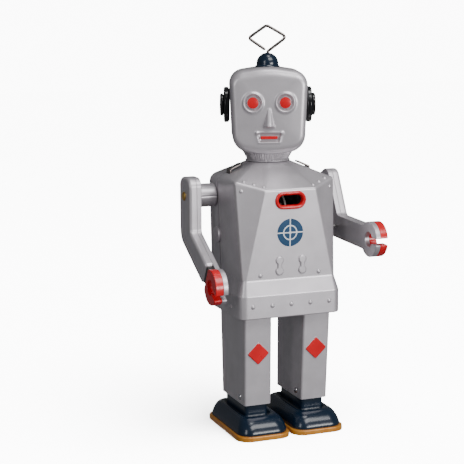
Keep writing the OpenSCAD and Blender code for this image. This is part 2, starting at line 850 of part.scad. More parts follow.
module shoulder_rivet(s) {
    inner = wall_x(shoulder_z) - tin - side_play;
    color("goldenrod") armed(s) {
        rod_x(inner - 0.6, arm_out, 0, 0, shoulder_rivet_r);
        rod_x(inner - 0.6, inner, 0, 0, shoulder_rivet_r * 2);
        translate([arm_out, 0, 0]) rivet_head(2.2, 0.8);
    }
}

module right_arm_outer() { arm_outer(-1); }
module right_arm_inner() { arm_inner(-1); }
module right_shoulder_tube() { shoulder_tube(-1); }
module right_shoulder_rivet() { shoulder_rivet(-1); }
module left_arm_outer() { arm_outer(1); }
module left_arm_inner() { arm_inner(1); }
module left_shoulder_tube() { shoulder_tube(1); }
module left_shoulder_rivet() { shoulder_rivet(1); }

// ---- legs and feet ----

module leg_solid(t, z0, z1) {
    hull() {
        translate([leg_in + t, leg_front_y + t, z1]) cube([leg_w - 2 * t, leg_d - 2 * t, eps]);
        translate([leg_in - leg_taper + t, leg_front_y + leg_toe_in + t, z0])
            cube([leg_w - leg_taper / 2 - 2 * t, leg_d - leg_toe_in - leg_taper - 2 * t, eps]);
    }
}

module leg(s) {
    color(paint) placed() scale([s, 1, 1]) difference() {
        leg_solid(0, leg_z, leg_top);
        leg_solid(tin, leg_z - 1, leg_top + 1);
        rod_x(leg_in - 3, leg_in + leg_w + 3, -ankle_front, ankle_z, ankle_rivet_r);
    }
    // embossed badge
    badge_z = (leg_z + leg_top) / 2 + 2;
    badge_y = leg_front_y + leg_toe_in * (leg_top - badge_z) / (leg_top - leg_z);
    color(red) placed() translate([s * (leg_in + leg_w / 2 - 0.3), badge_y + 0.5, badge_z])
        rotate([90, 45, 0]) translate([-badge_half, -badge_half, 0])
            cube([2 * badge_half, 2 * badge_half, 0.9]);
}

// Steel strip inside the leg: hangs on the hip rod, with a wide window for the crank pin
module leg_hanger(s) {
    play = crank_throw + (crank_z - hip_z) * sin(leg_swing) + crank_pin_r + side_play;
    rise = crank_throw + crank_pin_r + side_play + 0.4;
    half = play + 2;
    foot_end = leg_top - 16;
    color(steel) placed() scale([s, 1, 1]) side_cut(hanger_x, plate_t) difference() {
        translate([hip_y - half, foot_end]) square([2 * half, crank_z + rise + 2 - foot_end]);
        translate([hip_y, hip_z]) circle(hip_r + running);
        round_rect([hip_y - play, crank_z - rise], [hip_y + play, crank_z + rise], 2);
    }
}

module ankle_rivets(s) {
    x0 = leg_in - leg_taper;
    x1 = leg_in + leg_w - leg_taper * 0.7;
    color(steel) placed() scale([s, 1, 1]) {
        translate([x1, -ankle_front, ankle_z]) rivet_head(1.7, 0.7);
        rod_x(x1 - tin - block_gap - 1.4, x1, -ankle_front, ankle_z, ankle_rivet_r);
        translate([x0, -ankle_front, ankle_z]) mirror([1, 0, 0]) rivet_head(1.7, 0.6);
        rod_x(x0, x0 + tin + block_gap + 1.4, -ankle_front, ankle_z, ankle_rivet_r);
    }
}

module shoe_solid(t) {
    hull() {
        translate([0, 0, sole_t]) linear_extrude(shoe_h * 0.3)
            round_rect([foot_in + 1 + t, toe_y + 1 + t], [foot_in + foot_w - 1 - t, heel_y - 1 - t], 5);
        translate([0, 0, shoe_h - t - eps]) linear_extrude(eps)
            round_rect([foot_in + 4 + t, toe_y + 5 + t], [foot_in + foot_w - 4 - t, heel_y - 3 - t], 4);
    }
}

module shoe(s) {
    bx0 = leg_in - leg_taper + tin + block_gap;
    bx1 = leg_in + leg_w - leg_taper * 1.5 - tin - block_gap;
    by0 = leg_front_y + leg_toe_in + tin + 1;
    by1 = leg_back_y - leg_taper - tin - 1.2;
    color(blue) placed() scale([s, 1, 1]) difference() {
        union() {
            shoe_solid(0);
            translate([bx0, by0, sole_t + 1]) cube([bx1 - bx0, by1 - by0, block_top - sole_t - 1]);
        }
        translate([0, 0, -eps]) shoe_solid(tin);
        translate([bx0 + tin, by0 + tin, sole_t - 1])
            cube([bx1 - bx0 - 2 * tin, by1 - by0 - 2 * tin, block_top - sole_t + 1 - tin]);
        rod_x(bx0 - 3, bx1 + 3, -ankle_front, ankle_z, ankle_rivet_r + running);
    }
}

module sole(s) {
    color(gold) placed() scale([s, 1, 1]) linear_extrude(sole_t)
        round_rect([foot_in, toe_y], [foot_in + foot_w, heel_y], 5);
}

module right_leg() { leg(-1); }
module left_leg() { leg(1); }
module right_leg_hanger() { leg_hanger(-1); }
module left_leg_hanger() { leg_hanger(1); }
module right_ankle_rivets() { ankle_rivets(-1); }
module left_ankle_rivets() { ankle_rivets(1); }
module right_shoe() { shoe(-1); }
module left_shoe() { shoe(1); }
module right_sole() { sole(-1); }
module left_sole() { sole(1); }

body_front_shell();
body_back_shell();
motor_plate_right();
motor_plate_left();
motor_pillars();
motor_strap();
hip_rod();
mainspring();
flint_holder();
flint();
flint_spring();
neck_rivet();
arbor_bush();
waist_rivets();
stop_lever();
head_front_shell();
head_back_shell();
neck_collar();
right_ear_disc();
left_ear_disc();
right_ear_button();
left_ear_button();
antenna_dome();
antenna_wire();
right_arm_outer();
right_arm_inner();
right_shoulder_tube();
right_shoulder_rivet();
left_arm_outer();
left_arm_inner();
left_shoulder_tube();
left_shoulder_rivet();
right_leg();
left_leg();
right_leg_hanger();
left_leg_hanger();
right_ankle_rivets();
left_ankle_rivets();
right_shoe();
left_shoe();
right_sole();
left_sole();
winding_key();
winding_arbor();
great_wheel();
ratchet_wheel();
crank_shaft();
crank_pinion();
crank_wheel();
right_crank_disc();
left_crank_disc();
spark_shaft();
spark_pinion();
spark_wheel();
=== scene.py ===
import math
import bmesh
import bpy
from mathutils import Matrix, Vector, noise


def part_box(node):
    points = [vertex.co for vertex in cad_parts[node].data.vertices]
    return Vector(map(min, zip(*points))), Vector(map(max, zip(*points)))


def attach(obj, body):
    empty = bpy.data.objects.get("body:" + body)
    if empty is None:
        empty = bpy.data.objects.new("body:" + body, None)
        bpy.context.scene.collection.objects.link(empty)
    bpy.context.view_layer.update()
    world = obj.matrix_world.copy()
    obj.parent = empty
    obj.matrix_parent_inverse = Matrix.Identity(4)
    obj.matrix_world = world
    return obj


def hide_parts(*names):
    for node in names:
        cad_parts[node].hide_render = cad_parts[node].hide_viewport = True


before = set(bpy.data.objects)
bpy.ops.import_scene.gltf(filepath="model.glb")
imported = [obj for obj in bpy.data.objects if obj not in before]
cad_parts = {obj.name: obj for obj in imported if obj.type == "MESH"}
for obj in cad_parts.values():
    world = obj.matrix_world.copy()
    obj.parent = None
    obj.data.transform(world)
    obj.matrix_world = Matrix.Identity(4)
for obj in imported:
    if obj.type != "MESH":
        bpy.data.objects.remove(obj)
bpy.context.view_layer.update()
print("frame loaded:", len(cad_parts), "nodes")

# The robot is drawn in millimetres about its own middle: front -Y, its left hand +X.
# The frame stands it a little further back, which the motor plate's rear edge tells.
mm = 0.001
plateBack = 20
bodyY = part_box("motor_plate_left")[1].y / mm - plateBack
robotSpace = Matrix.Translation((0, bodyY, 0))


# finishes
class Signal:  # one output socket; sums and products with it become Math nodes
    def __init__(self, finish, socket):
        self.finish = finish
        self.socket = socket

    def join(self, operation, left, right):
        return self.finish.node("ShaderNodeMath", {"operation": operation}, {0: left, 1: right})

    def __add__(self, other):
        return self.join("ADD", self, other)

    def __radd__(self, other):
        return self.join("ADD", other, self)

    def __sub__(self, other):
        return self.join("SUBTRACT", self, other)

    def __rsub__(self, other):
        return self.join("SUBTRACT", other, self)

    def __mul__(self, other):
        return self.join("MULTIPLY", self, other)

    def __rmul__(self, other):
        return self.join("MULTIPLY", other, self)


class Finish:
    def __init__(self, name, **constants):
        self.material = bpy.data.materials.new(name)
        self.material.use_nodes = True
        self.tree = self.material.node_tree
        self.shader = self.tree.nodes["Principled BSDF"]
        for label, value in constants.items():
            self.shader.inputs[label.replace("_", " ")].default_value = value

    def node(self, kind, settings=None, sockets=None, out=0):
        made = self.tree.nodes.new(kind)
        for key, value in (settings or {}).items():
            if key == "stops":
                ramp = made.color_ramp
                while len(ramp.elements) < len(value):
                    ramp.elements.new(0.5)
                for element, (place, colour) in zip(ramp.elements, value):
                    element.position = place
                    element.color = colour if len(colour) == 4 else (*colour, 1)
            else:
                setattr(made, key, value)
        for key, value in (sockets or {}).items():
            self.feed(made.inputs[key], value)
        return Signal(self, made.outputs[out])

    def feed(self, socket, value):
        if isinstance(value, Signal):
            self.tree.links.new(value.socket, socket)
        else:
            socket.default_value = value

    def place(self):
        return self.node("ShaderNodeTexCoord", out="Object")

    def grain(self, size, detail=4, roughness=0.55, stretch=(1, 1, 1)):  # noise, spot size in mm
        spread = self.node("ShaderNodeVectorMath", {"operation": "MULTIPLY"},
                           {0: self.place(), 1: [s / (size * mm) for s in stretch]})
        return self.node("ShaderNodeTexNoise", {}, {"Vector": spread, "Scale": 1.0, "Detail": detail,
                                                    "Roughness": roughness})

    def ramp(self, value, low, high):
        return self.node("ShaderNodeMapRange", {}, {"Value": value, "From Min": low, "From Max": high})

    def mix(self, share, first, second):
        first, second = [(*c, 1) if isinstance(c, tuple) else c for c in (first, second)]
        return self.node("ShaderNodeMix", {"data_type": "RGBA"}, {"Factor": share, 6: first, 7: second},
                         out=2)

    def bumps(self, height, depth, strength=1.0):  # depth in mm
        return self.node("ShaderNodeBump", {},
                         {"Height": height, "Distance": depth * mm, "Strength": strength})

    def set(self, **sockets):
        for label, value in sockets.items():
            self.feed(self.shader.inputs[label.replace("_", " ")], value)
        return self.material


paintValues = {"silver": (0.56, 0.53, 0.56), "silverDark": (0.47, 0.445, 0.47), "red": (0.66, 0.008, 0.014),
               "blue": (0.003, 0.012, 0.028), "black": (0.008, 0.008, 0.010), "gold": (0.60, 0.26, 0.03),
               "print": (0.002, 0.05, 0.13), "white": (0.80, 0.82, 0.85)}


def silverPaint():
    f = Finish("silver paint", Specular_IOR_Level=0.5, Coat_Roughness=0.18)
    flake = f.grain(0.16, 2)
    cloud = f.grain(9, 3)
    colour = f.mix(f.ramp(cloud + flake * 0.5, 0.45, 1.0), paintValues["silverDark"], paintValues["silver"])
    height = flake * 0.35 + f.grain(1.3, 3) * 0.65
    return f.set(Base_Color=colour, Metallic=0.55, Roughness=0.33 + flake * 0.12,
                 Coat_Weight=0.25 + cloud * 0.2, Normal=f.bumps(height, 0.03, 0.5))


def glossPaint(name, colour, rough=0.16, chips=None):
    f = Finish(name, Specular_IOR_Level=0.4, Coat_Roughness=0.15)
    cloud = f.grain(7, 3)
    orangePeel = f.grain(1.1, 2)
    deep = tuple(c * 0.82 for c in colour)
    shade = f.mix(f.ramp(cloud, 0.35, 0.7), deep, colour)
    worn = f.ramp(f.grain(2.6, 6, 0.7), 0.72, 0.76)
    if chips:
        shade = f.mix(worn, shade, chips)
    return f.set(Base_Color=shade, Roughness=rough + cloud * 0.1, Coat_Weight=0.15 + cloud * 0.2,
                 Normal=f.bumps(orangePeel, 0.012, 0.5))


def bareMetal(name, colour, rough=0.28, lines=(1, 1, 1), spots=0.6):
    f = Finish(name, Specular_IOR_Level=0.5)
    brushed = f.grain(spots, 5, 0.65, lines)
    cloud = f.grain(6, 3)
    dull = tuple(c * 0.62 for c in colour)
    shade = f.mix(f.ramp(cloud, 0.3, 0.72), dull, colour)
    return f.set(Base_Color=shade, Metallic=1.0, Roughness=rough + brushed * 0.18,
                 Normal=f.bumps(brushed, 0.02, 0.4))


def solePaint():
    f = Finish("ochre sole", Specular_IOR_Level=0.5, Coat_Roughness=0.2)
    wear = f.ramp(f.grain(1.6, 6, 0.72), 0.60, 0.70)
    cloud = f.grain(5, 3)
    shade = f.mix(f.ramp(cloud, 0.3, 0.7), (0.50, 0.17, 0.015), paintValues["gold"])
    worn = f.mix(wear * 0.55, shade, (0.86, 0.62, 0.26))
    return f.set(Base_Color=worn, Roughness=0.30 + cloud * 0.15, Metallic=0.25, Coat_Weight=0.35,
                 Normal=f.bumps(f.grain(0.9, 4), 0.05, 0.6))


def emery():
    f = Finish("emery wheel")
    grit = f.grain(0.25, 6, 0.8)
    return f.set(Base_Color=f.mix(f.ramp(grit, 0.4, 0.65), (0.06, 0.055, 0.05), (0.3, 0.27, 0.24)),
                 Roughness=0.75 + grit * 0.2, Normal=f.bumps(grit, 0.12, 1.0))


finishes = {
    "silver": silverPaint(),
    "red": glossPaint("red paint", paintValues["red"], 0.22),
    "blue": glossPaint("deep blue enamel", paintValues["blue"], 0.2),
    "black": glossPaint("black enamel", paintValues["black"], 0.12),
    "print": glossPaint("blue print", paintValues["print"], 0.25),
    "white": glossPaint("white print", paintValues["white"], 0.3),
    "sole": solePaint(),
    "steel": bareMetal("bare steel", (0.50, 0.49, 0.48), 0.28, (1, 1, 6)),
    "spring": bareMetal("blued spring steel", (0.11, 0.12, 0.16), 0.25),
    "brass": bareMetal("brass", (0.80, 0.52, 0.16), 0.26),
    "chrome": bareMetal("bright plating", (0.86, 0.86, 0.88), 0.08),
    # wire: the dark brown is painted dark reflection for the bright-plated aerial; on the strap tabs it is
    # taken as lacquered tin's own colour
    "wire": bareMetal("lacquered tin and painted dark reflection", (0.24, 0.21, 0.20), 0.2, (1, 1, 4)),
    # inside: near-black painted shade, not the tin's own colour; it fills the opening at the wrist
    "inside": glossPaint("painted shade in wrist gap", (0.03, 0.029, 0.028), 0.5),
    "flint": bareMetal("flint", (0.10, 0.10, 0.11), 0.5),
    "emery": emery(),
}
print("finishes made:", len(finishes))


# making pieces
def bend(before, corner, after, radius, steps):  # points of the round between two straights
    corner = Vector(corner)
    a = Vector(before) - corner
    b = Vector(after) - corner
    if a.length < 1e-4 or b.length < 1e-4:
        return [Vector(corner)] * (steps + 1)
    if a.angle(b) > math.pi - 0.03:  # nearly straight on
        reach = min(a.length, b.length, 2 * radius) * 0.2
        start, end = corner + a.normalized() * reach, corner + b.normalized() * reach
        return [start.lerp(end, k / steps) for k in range(steps + 1)]
    half = a.angle(b) / 2
    reach = min(radius / math.tan(half), a.length * 0.49, b.length * 0.49)
    radius = reach * math.tan(half)
    a.normalize()
    b.normalize()
    middle = corner + (a + b).normalized() * (radius / math.sin(half))
    first = corner + a * reach - middle
    last = corner + b * reach - middle
    turn = first.angle(last)
    made = []
    for k in range(steps + 1):
        start, end = math.sin(turn * (1 - k / steps)), math.sin(turn * k / steps)
        made.append(middle + (first * start + last * end) / math.sin(turn))
    return made


def path(corners, steps=5, closed=False):  # corners: (point, radius); ends stay sharp on an open path
    count = len(corners)
    made = []
    for i, (point, radius) in enumerate(corners):
        inner = closed or 0 < i < count - 1
        if inner and radius > 0:
            made += bend(corners[i - 1][0], point, corners[(i + 1) % count][0], radius, steps)
        else:
            made.append(Vector(point))
    return made


def arc(centre, radius, start, end, steps):  # angles in degrees
    return [Vector((centre[0] + radius * math.cos(math.radians(start + (end - start) * k / steps)),
                    centre[1] + radius * math.sin(math.radians(start + (end - start) * k / steps))))
            for k in range(steps + 1)]


def rectangle(low, high, radius, steps=5):
    return path([((low[0], low[1]), radius), ((high[0], low[1]), radius),
                 ((high[0], high[1]), radius), ((low[0], high[1]), radius)], steps, True)


def inset(loop, depth):  # moves a counter-clockwise outline inwards
    count = len(loop)
    moved = []
    for i, p in enumerate(loop):
        along = loop[(i + 1) % count] - loop[i - 1]
        normal = Vector((-along.y, along.x)).normalized()
        moved.append(Vector((p.x, p.y)) + normal * (depth[i] if isinstance(depth, list) else depth))
    return moved


def grid(rows, closed=False):  # rows of 3-D points joined by squares
    wide = len(rows[0])
    verts = [p for row in rows for p in row]
    last = wide if closed else wide - 1
    faces = [(r * wide + i, r * wide + (i + 1) % wide, (r + 1) * wide + (i + 1) % wide, (r + 1) * wide + i)
             for r in range(len(rows) - 1) for i in range(last)]
    return verts, faces


def capped(rows, first=True, last=True):  # closed rows with flat ends
    verts, faces = grid(rows, True)
    wide = len(rows[0])
    if first:
        faces.append(tuple(reversed(range(wide))))
    if last:
        faces.append(tuple(len(verts) - wide + i for i in range(wide)))
    return verts, faces


def plate(loop, thick, edge=0.4, back=0.15, steps=5):  # flat piece with round edges, z 0 to thick
    rows = []
    for k in range(3):
        turn = math.pi / 2 * k / 2
        rows.append((back * (1 - math.sin(turn)), back * (1 - math.cos(turn))))
    for k in range(steps + 1):
        turn = math.pi / 2 * k / steps
        rows.append((edge * (1 - math.cos(turn)), thick - edge * (1 - math.sin(turn))))
    return capped([[Vector((p.x, p.y, z)) for p in inset(loop, depth)] for depth, z in rows])


def lathe(profile, steps=48, wave=None):  # profile: (radius, height); turned about z
    rows = []
    for radius, height in profile:
        row = []
        for k in range(steps):
            turn = 2 * math.pi * k / steps
            r = radius * (wave(turn, height) if wave else 1)
            row.append(Vector((r * math.cos(turn), r * math.sin(turn), height)))
        rows.append(row)
    return capped(rows)


def roundProfile(corners, steps=4):  # a lathe profile with round corners: (radius, height, rounding)
    return [(p.x, p.y) for p in path([((r, h), rounding) for r, h, rounding in corners], steps)]


def domeProfile(radius, height, steps=8):
    ball = (radius * radius + height * height) / (2 * height)
    reach = math.asin(min(1, radius / ball))
    turns = [reach * (1 - k / steps) for k in range(steps + 1)]
    return [(max(ball * math.sin(t), 0.01), height - ball + ball * math.cos(t)) for t in turns]


def tube(points, radius, steps=12):  # round bar swept along points
    rows = []
    side = None
    for i, p in enumerate(points):
        along = (points[min(i + 1, len(points) - 1)] - points[max(i - 1, 0)]).normalized()
        side = (side - along * side.dot(along)).normalized() if side else along.orthogonal().normalized()
        up = along.cross(side)
        shrink = 0.6 if i in (0, len(points) - 1) else 1
        rows.append([p + (side * math.cos(2 * math.pi * k / steps) + up * math.sin(2 * math.pi * k / steps))
                     * radius * shrink for k in range(steps)])
    return capped(rows)


# a plate's x, y, z become x, height, forward
toFront = Matrix(((1, 0, 0, 0), (0, 0, -1, 0), (0, 1, 0, 0), (0, 0, 0, 1)))
# a plate's x, y, z become back, height, outward
toSide = Matrix(((0, 0, 1, 0), (1, 0, 0, 0), (0, 1, 0, 0), (0, 0, 0, 1)))


def shift(x, y, z):
    return Matrix.Translation((x, y, z))


def turned(axis, degrees):
    return Matrix.Rotation(math.radians(degrees), 4, axis)


class Shape:  # collects meshes in millimetres and turns them into one piece
    def __init__(self):
        self.verts = []
        self.faces = []
        self.paints = []

    def add(self, part, space=None, paint=0):
        verts, faces = part
        start = len(self.verts)
        self.verts += [space @ Vector(v) if space else Vector(v) for v in verts]
        self.faces += [tuple(start + i for i in f) for f in faces]
        self.paints += [paint] * len(faces)
        return self

    def piece(self, name, body, slot, paints, replaces=(), space=None, thick=0, centre=None,
              creases=38, carve=()):
        name = name.replace(" ", "_")
        mesh = bpy.data.meshes.new(name)
        whole = Matrix.Scale(mm, 4) @ robotSpace @ (space or Matrix())
        mesh.from_pydata([whole @ v for v in self.verts], [], self.faces)
        for f, paint in zip(mesh.polygons, self.paints):
            f.material_index = paint
        for paint in paints:
            mesh.materials.append(finishes[paint])
        tidy = bmesh.new()
        tidy.from_mesh(mesh)
        bmesh.ops.remove_doubles(tidy, verts=tidy.verts, dist=0.002 * mm)
        bmesh.ops.dissolve_degenerate(tidy, edges=tidy.edges, dist=0.002 * mm)
        bmesh.ops.recalc_face_normals(tidy, faces=tidy.faces)
        if centre:
            middle = whole @ Vector(centre)
            outward = sum((f.calc_center_median() - middle).dot(f.normal) * f.calc_area()
                          for f in tidy.faces)
            if outward < 0:
                bmesh.ops.reverse_faces(tidy, faces=tidy.faces)
        tidy.to_mesh(mesh)
        tidy.free()
        made = bpy.data.objects.new(name, mesh)
        made.name = name
        bpy.context.scene.collection.objects.link(made)
        if thick:
            sheet = made.modifiers.new("tin", "SOLIDIFY")
            sheet.thickness = thick * mm
            sheet.offset = -1
        for cutter in carve:
            hole = made.modifiers.new("hole", "BOOLEAN")
            hole.operation = "DIFFERENCE"
            hole.solver = "EXACT"
            hole.object = cutter
        if thick or carve:
            settle(made)
        for f in made.data.polygons:
            f.use_smooth = True
        made.data.set_sharp_from_angle(angle=math.radians(creases))
        smooth = made.modifiers.new("even shading", "WEIGHTED_NORMAL")
        smooth.keep_sharp = True
        smooth.weight = 80
        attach(made, body)
        if replaces:
            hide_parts(*replaces)
        return made

    def cutter(self, name, space=None):
        mesh = bpy.data.meshes.new(name)
        whole = Matrix.Scale(mm, 4) @ robotSpace @ (space or Matrix())
        mesh.from_pydata([whole @ v for v in self.verts], [], self.faces)
        tidy = bmesh.new()
        tidy.from_mesh(mesh)
        bmesh.ops.recalc_face_normals(tidy, faces=tidy.faces)
        tidy.to_mesh(mesh)
        tidy.free()
        made = bpy.data.objects.new(name, mesh)
        bpy.context.scene.collection.objects.link(made)
        return made


def settle(made):  # applies a piece's modifiers
    graph = bpy.context.evaluated_depsgraph_get()
    final = bpy.data.meshes.new_from_object(made.evaluated_get(graph))
    made.modifiers.clear()
    made.data = final


def drop(*objects):
    for o in objects:
        bpy.data.objects.remove(o)


def mirrored(side):
    return Matrix.Diagonal((side, 1, 1, 1))


# body
body = {"tin": 0.6, "bandHalfWidth": 26, "bandHalfDepth": 24.6, "bandCorner": 4, "bandLow": 58.3,
        "bandTop": 69.3,
        "chestLow": 76.3, "chestHalfWidth": 23.8, "chestHalfDepth": 22.4, "shoulderHalfWidth": 25.5,
        "panelHalfWidth": 13, "panelTop": 119, "panelY": -23.4, "cornerY": -16.2, "cornerZ": 122.6,
        "seamY": 6.5, "seamGap": 0.33, "neckZ": 129.9, "neckRadius": 10.5, "neckY": 4.5, "shoulderRound": 5,
        "windowHalf": 5.95, "windowHeight": 4.7, "windowZ": 113.8, "rim": 1.9}
b = body


def frontRow(half, reach, cornerRound, z, panelHalf=None, panelY=None, panelZ=None, cornerY=None):
    front = panelY if panelY is not None else -reach
    knuckle = cornerRound * math.tan(math.radians(22.5))
    a = (panelHalf if panelHalf else half - cornerRound + knuckle, front, panelZ or z)
    k = (half, cornerY if cornerY is not None else front + cornerRound - knuckle, z)
    seam = (half, b["seamY"] - b["seamGap"], z)
    middle = (0, front, panelZ or z)
    return spread([(middle, 0), (a, 2.6 if panelHalf else cornerRound),
                   (k, 1.8 if panelHalf else cornerRound), (seam, 0)],
                  [4, 3, 5])


def backRow(half, reach, cornerRound, z):
    seam = (half, b["seamY"] + b["seamGap"], z)
    return spread([((0, reach, z), 0), ((half, reach, z), cornerRound), (seam, 0)], [5, 5], 8)


def spread(corners, cuts, steps=5):  # a path with the same number of points however its corners lie
    made = []
    pieces = [[Vector(corners[0][0])]]
    for i in range(1, len(corners) - 1):
        pieces.append(bend(corners[i - 1][0], corners[i][0], corners[i + 1][0], corners[i][1], steps))
    pieces.append([Vector(corners[-1][0])])
    for i, run in enumerate(pieces):
        made += run
        if i < len(pieces) - 1:
            made += [run[-1].lerp(pieces[i + 1][0], k / cuts[i]) for k in range(1, cuts[i])]
    return made


def ring(count, radius, z, start, end):
    return [Vector((radius * math.cos(math.radians(start + (end - start) * k / (count - 1))),
                    b["neckY"] + radius * math.sin(math.radians(start + (end - start) * k / (count - 1))),
                    z))
            for k in range(count)]


def shellRows(levels, rounds, steps=6):  # rounds each column's corners, then makes rows again
    columns = [path([(level[i], rounds(j, i, level[i])) for j, level in enumerate(levels)], steps)
               for i in range(len(levels[0]))]
    half = [[column[r] for column in columns] for r in range(len(columns[0]))]
    return [[Vector((-p.x, p.y, p.z)) for p in reversed(row[1:])] + row for row in half]


def bodyRound(level, index, point):
    if level == 4:  # shoulder edge: crisp over the chest panel, full over the sides
        along = min(1, max(0, (point.y - b["cornerY"] - 2) / 8))
        return 1.7 + (b["shoulderRound"] - 1.7) * along if abs(point.x) > 20 else 1.7
    return {1: 0.6, 2: 1.9, 3: 3.2, 5: 0.9}.get(level, 0.5)


def backRound(level, index, point):
    return b["shoulderRound"] if level == 4 else {1: 0.6, 2: 1.9, 3: 3.2, 5: 0.9}.get(level, 0.5)


seamAngle = math.degrees(math.asin((b["seamY"] - b["seamGap"] - b["neckY"]) / b["neckRadius"]))
lip = 1.3
frontLevels = [
    frontRow(b["bandHalfWidth"] - lip, b["bandHalfDepth"] - lip, b["bandCorner"] - lip, b["bandLow"]),
    frontRow(b["bandHalfWidth"], b["bandHalfDepth"], b["bandCorner"], b["bandLow"]),
    frontRow(b["bandHalfWidth"], b["bandHalfDepth"], b["bandCorner"], b["bandTop"]),
    frontRow(b["chestHalfWidth"], b["chestHalfDepth"], 2.2, b["chestLow"]),
    frontRow(b["shoulderHalfWidth"], 0, 0, b["cornerZ"], b["panelHalfWidth"], b["panelY"], b["panelTop"],
             b["cornerY"]),
]
points = len(frontLevels[0])
frontLevels += [ring(points, b["neckRadius"], b["neckZ"], -90, seamAngle),
                ring(points, 3.4, b["neckZ"], -90, seamAngle)]
backLevels = [
    backRow(b["bandHalfWidth"] - lip, b["bandHalfDepth"] - lip, b["bandCorner"] - lip, b["bandLow"]),
    backRow(b["bandHalfWidth"], b["bandHalfDepth"], b["bandCorner"], b["bandLow"]),
    backRow(b["bandHalfWidth"], b["bandHalfDepth"], b["bandCorner"], b["bandTop"]),
    backRow(b["chestHalfWidth"], b["chestHalfDepth"], 3.5, b["chestLow"]),
    backRow(b["shoulderHalfWidth"], b["chestHalfDepth"], 6, b["cornerZ"]),
]
points = len(backLevels[0])
backLevels += [ring(points, b["neckRadius"], b["neckZ"], 90, seamAngle + 2),
               ring(points, 3.4, b["neckZ"], 90, seamAngle + 2)]


def panelFace(z):
    return -b["chestHalfDepth"] - (z - b["chestLow"]) / (b["panelTop"] - b["chestLow"])


def stadium(half, height, steps=10):
    r = height / 2
    return arc((half - r, 0), r, -90, 90, steps) + arc((r - half, 0), r, 90, 270, steps)


panelLean = math.atan(1 / (b["panelTop"] - b["chestLow"]))


def onPanel(x, z, lift=0.0):  # a plate's x, y, z onto the leaning chest panel
    return shift(x, panelFace(z) - lift, z) @ Matrix.Rotation(panelLean, 4, "X") @ toFront


def onFront(x, z, y):
    return shift(x, y, z) @ toFront


windowCut = Shape().add(plate(stadium(b["windowHalf"] + 0.5, b["windowHeight"] + 1), 8, 0.1, 0.1),
                        onPanel(0, b["windowZ"], -5)).cutter("window cut")
arborZ, arborY = 94, b["seamY"]
leverCut = Shape().add(plate(rectangle((-0.9, -3.6), (0.9, 3.6), 0.8), 8, 0.05, 0.05),
                       shift(1.1, b["chestHalfDepth"] + 4, 108) @ turned("Z", 180) @ toFront
                       ).cutter("lever cut")
tabX, tabY, tabWide = 20.6, 1, 4.6
tabCut = Shape()
for side in (-1, 1):
    tabCut.add(plate(rectangle((side * tabX - 0.7, tabY - 0.2), (side * tabX + 0.7, tabY + tabWide + 0.2),
                               0.5), 12, 0.05, 0.05),
               shift(0, 0, 121))
tabCut = tabCut.cutter("tab cut")
arborCut = Shape().add(lathe([(2.2, -8), (2.2, 8)], 24),
                       shift(24, arborY, arborZ) @ turned("Y", 90)).cutter("arbor cut")

shellCentre = (0, 0, 95)
Shape().add(grid(shellRows(frontLevels, bodyRound))).piece(
    "chest front shell", "torso", "silver_paint", ["silver"], ["body_front_shell"], thick=b["tin"],
    centre=shellCentre,
    carve=[windowCut, tabCut, arborCut])
Shape().add(grid(shellRows(backLevels, backRound))).piece(
    "chest back shell", "torso", "silver_paint", ["silver"], ["body_back_shell"], thick=b["tin"],
    centre=shellCentre,
    carve=[leverCut, arborCut])
drop(windowCut, leverCut, tabCut, arborCut)

# red rim pressed round the spark window
rimLoop = stadium(b["windowHalf"] + b["rim"], b["windowHeight"] + 2 * b["rim"])
rimProfile = [(0.0, -0.2), (0.0, 0.35), (0.25, 0.75), (0.75, 1.0), (1.25, 0.9), (1.6, 0.5),
              (b["rim"], -0.1), (b["rim"], -1.2)]
rimRows = [[Vector((p.x, p.y, h)) for p in inset(rimLoop, depth)] for depth, h in rimProfile]
Shape().add(grid(rimRows, True), onPanel(0, b["windowZ"])).piece(
    "window rim", "torso", "red_paint", ["red"])

# target print: blue disc, white rings and cross
target = {"z": 98.4, "radius": 6.6, "ring": 3.35, "line": 0.6}


def wedge(inner, outer, gap, quarter, steps=10):  # a quarter ring that keeps clear of the cross
    def edge(radius, backwards):
        off = math.degrees(math.asin(gap / 2 / radius))
        angles = (90 - off, off) if backwards else (off, 90 - off)
        return arc((0, 0), radius, quarter * 90 + angles[0], quarter * 90 + angles[1], steps)
    return edge(outer, False) + edge(inner, True)


targetDisc = Shape().add(lathe([(target["radius"] - 0.1, 0.0), (target["radius"] - 0.1, 0.05)], 64),
                         onPanel(0, target["z"]), 1)
for quarter in range(4):
    targetDisc.add(plate(wedge(target["ring"] + target["line"] / 2, target["radius"], target["line"],
                               quarter), 0.09, 0.02, 0.01),
                   onPanel(0, target["z"]), 0)
    targetDisc.add(plate(wedge(0.7, target["ring"] - target["line"] / 2, target["line"], quarter), 0.09,
                         0.02, 0.01),
                   onPanel(0, target["z"]), 0)
targetDisc.piece("target print", "torso", "blue_print", ["print", "white"])

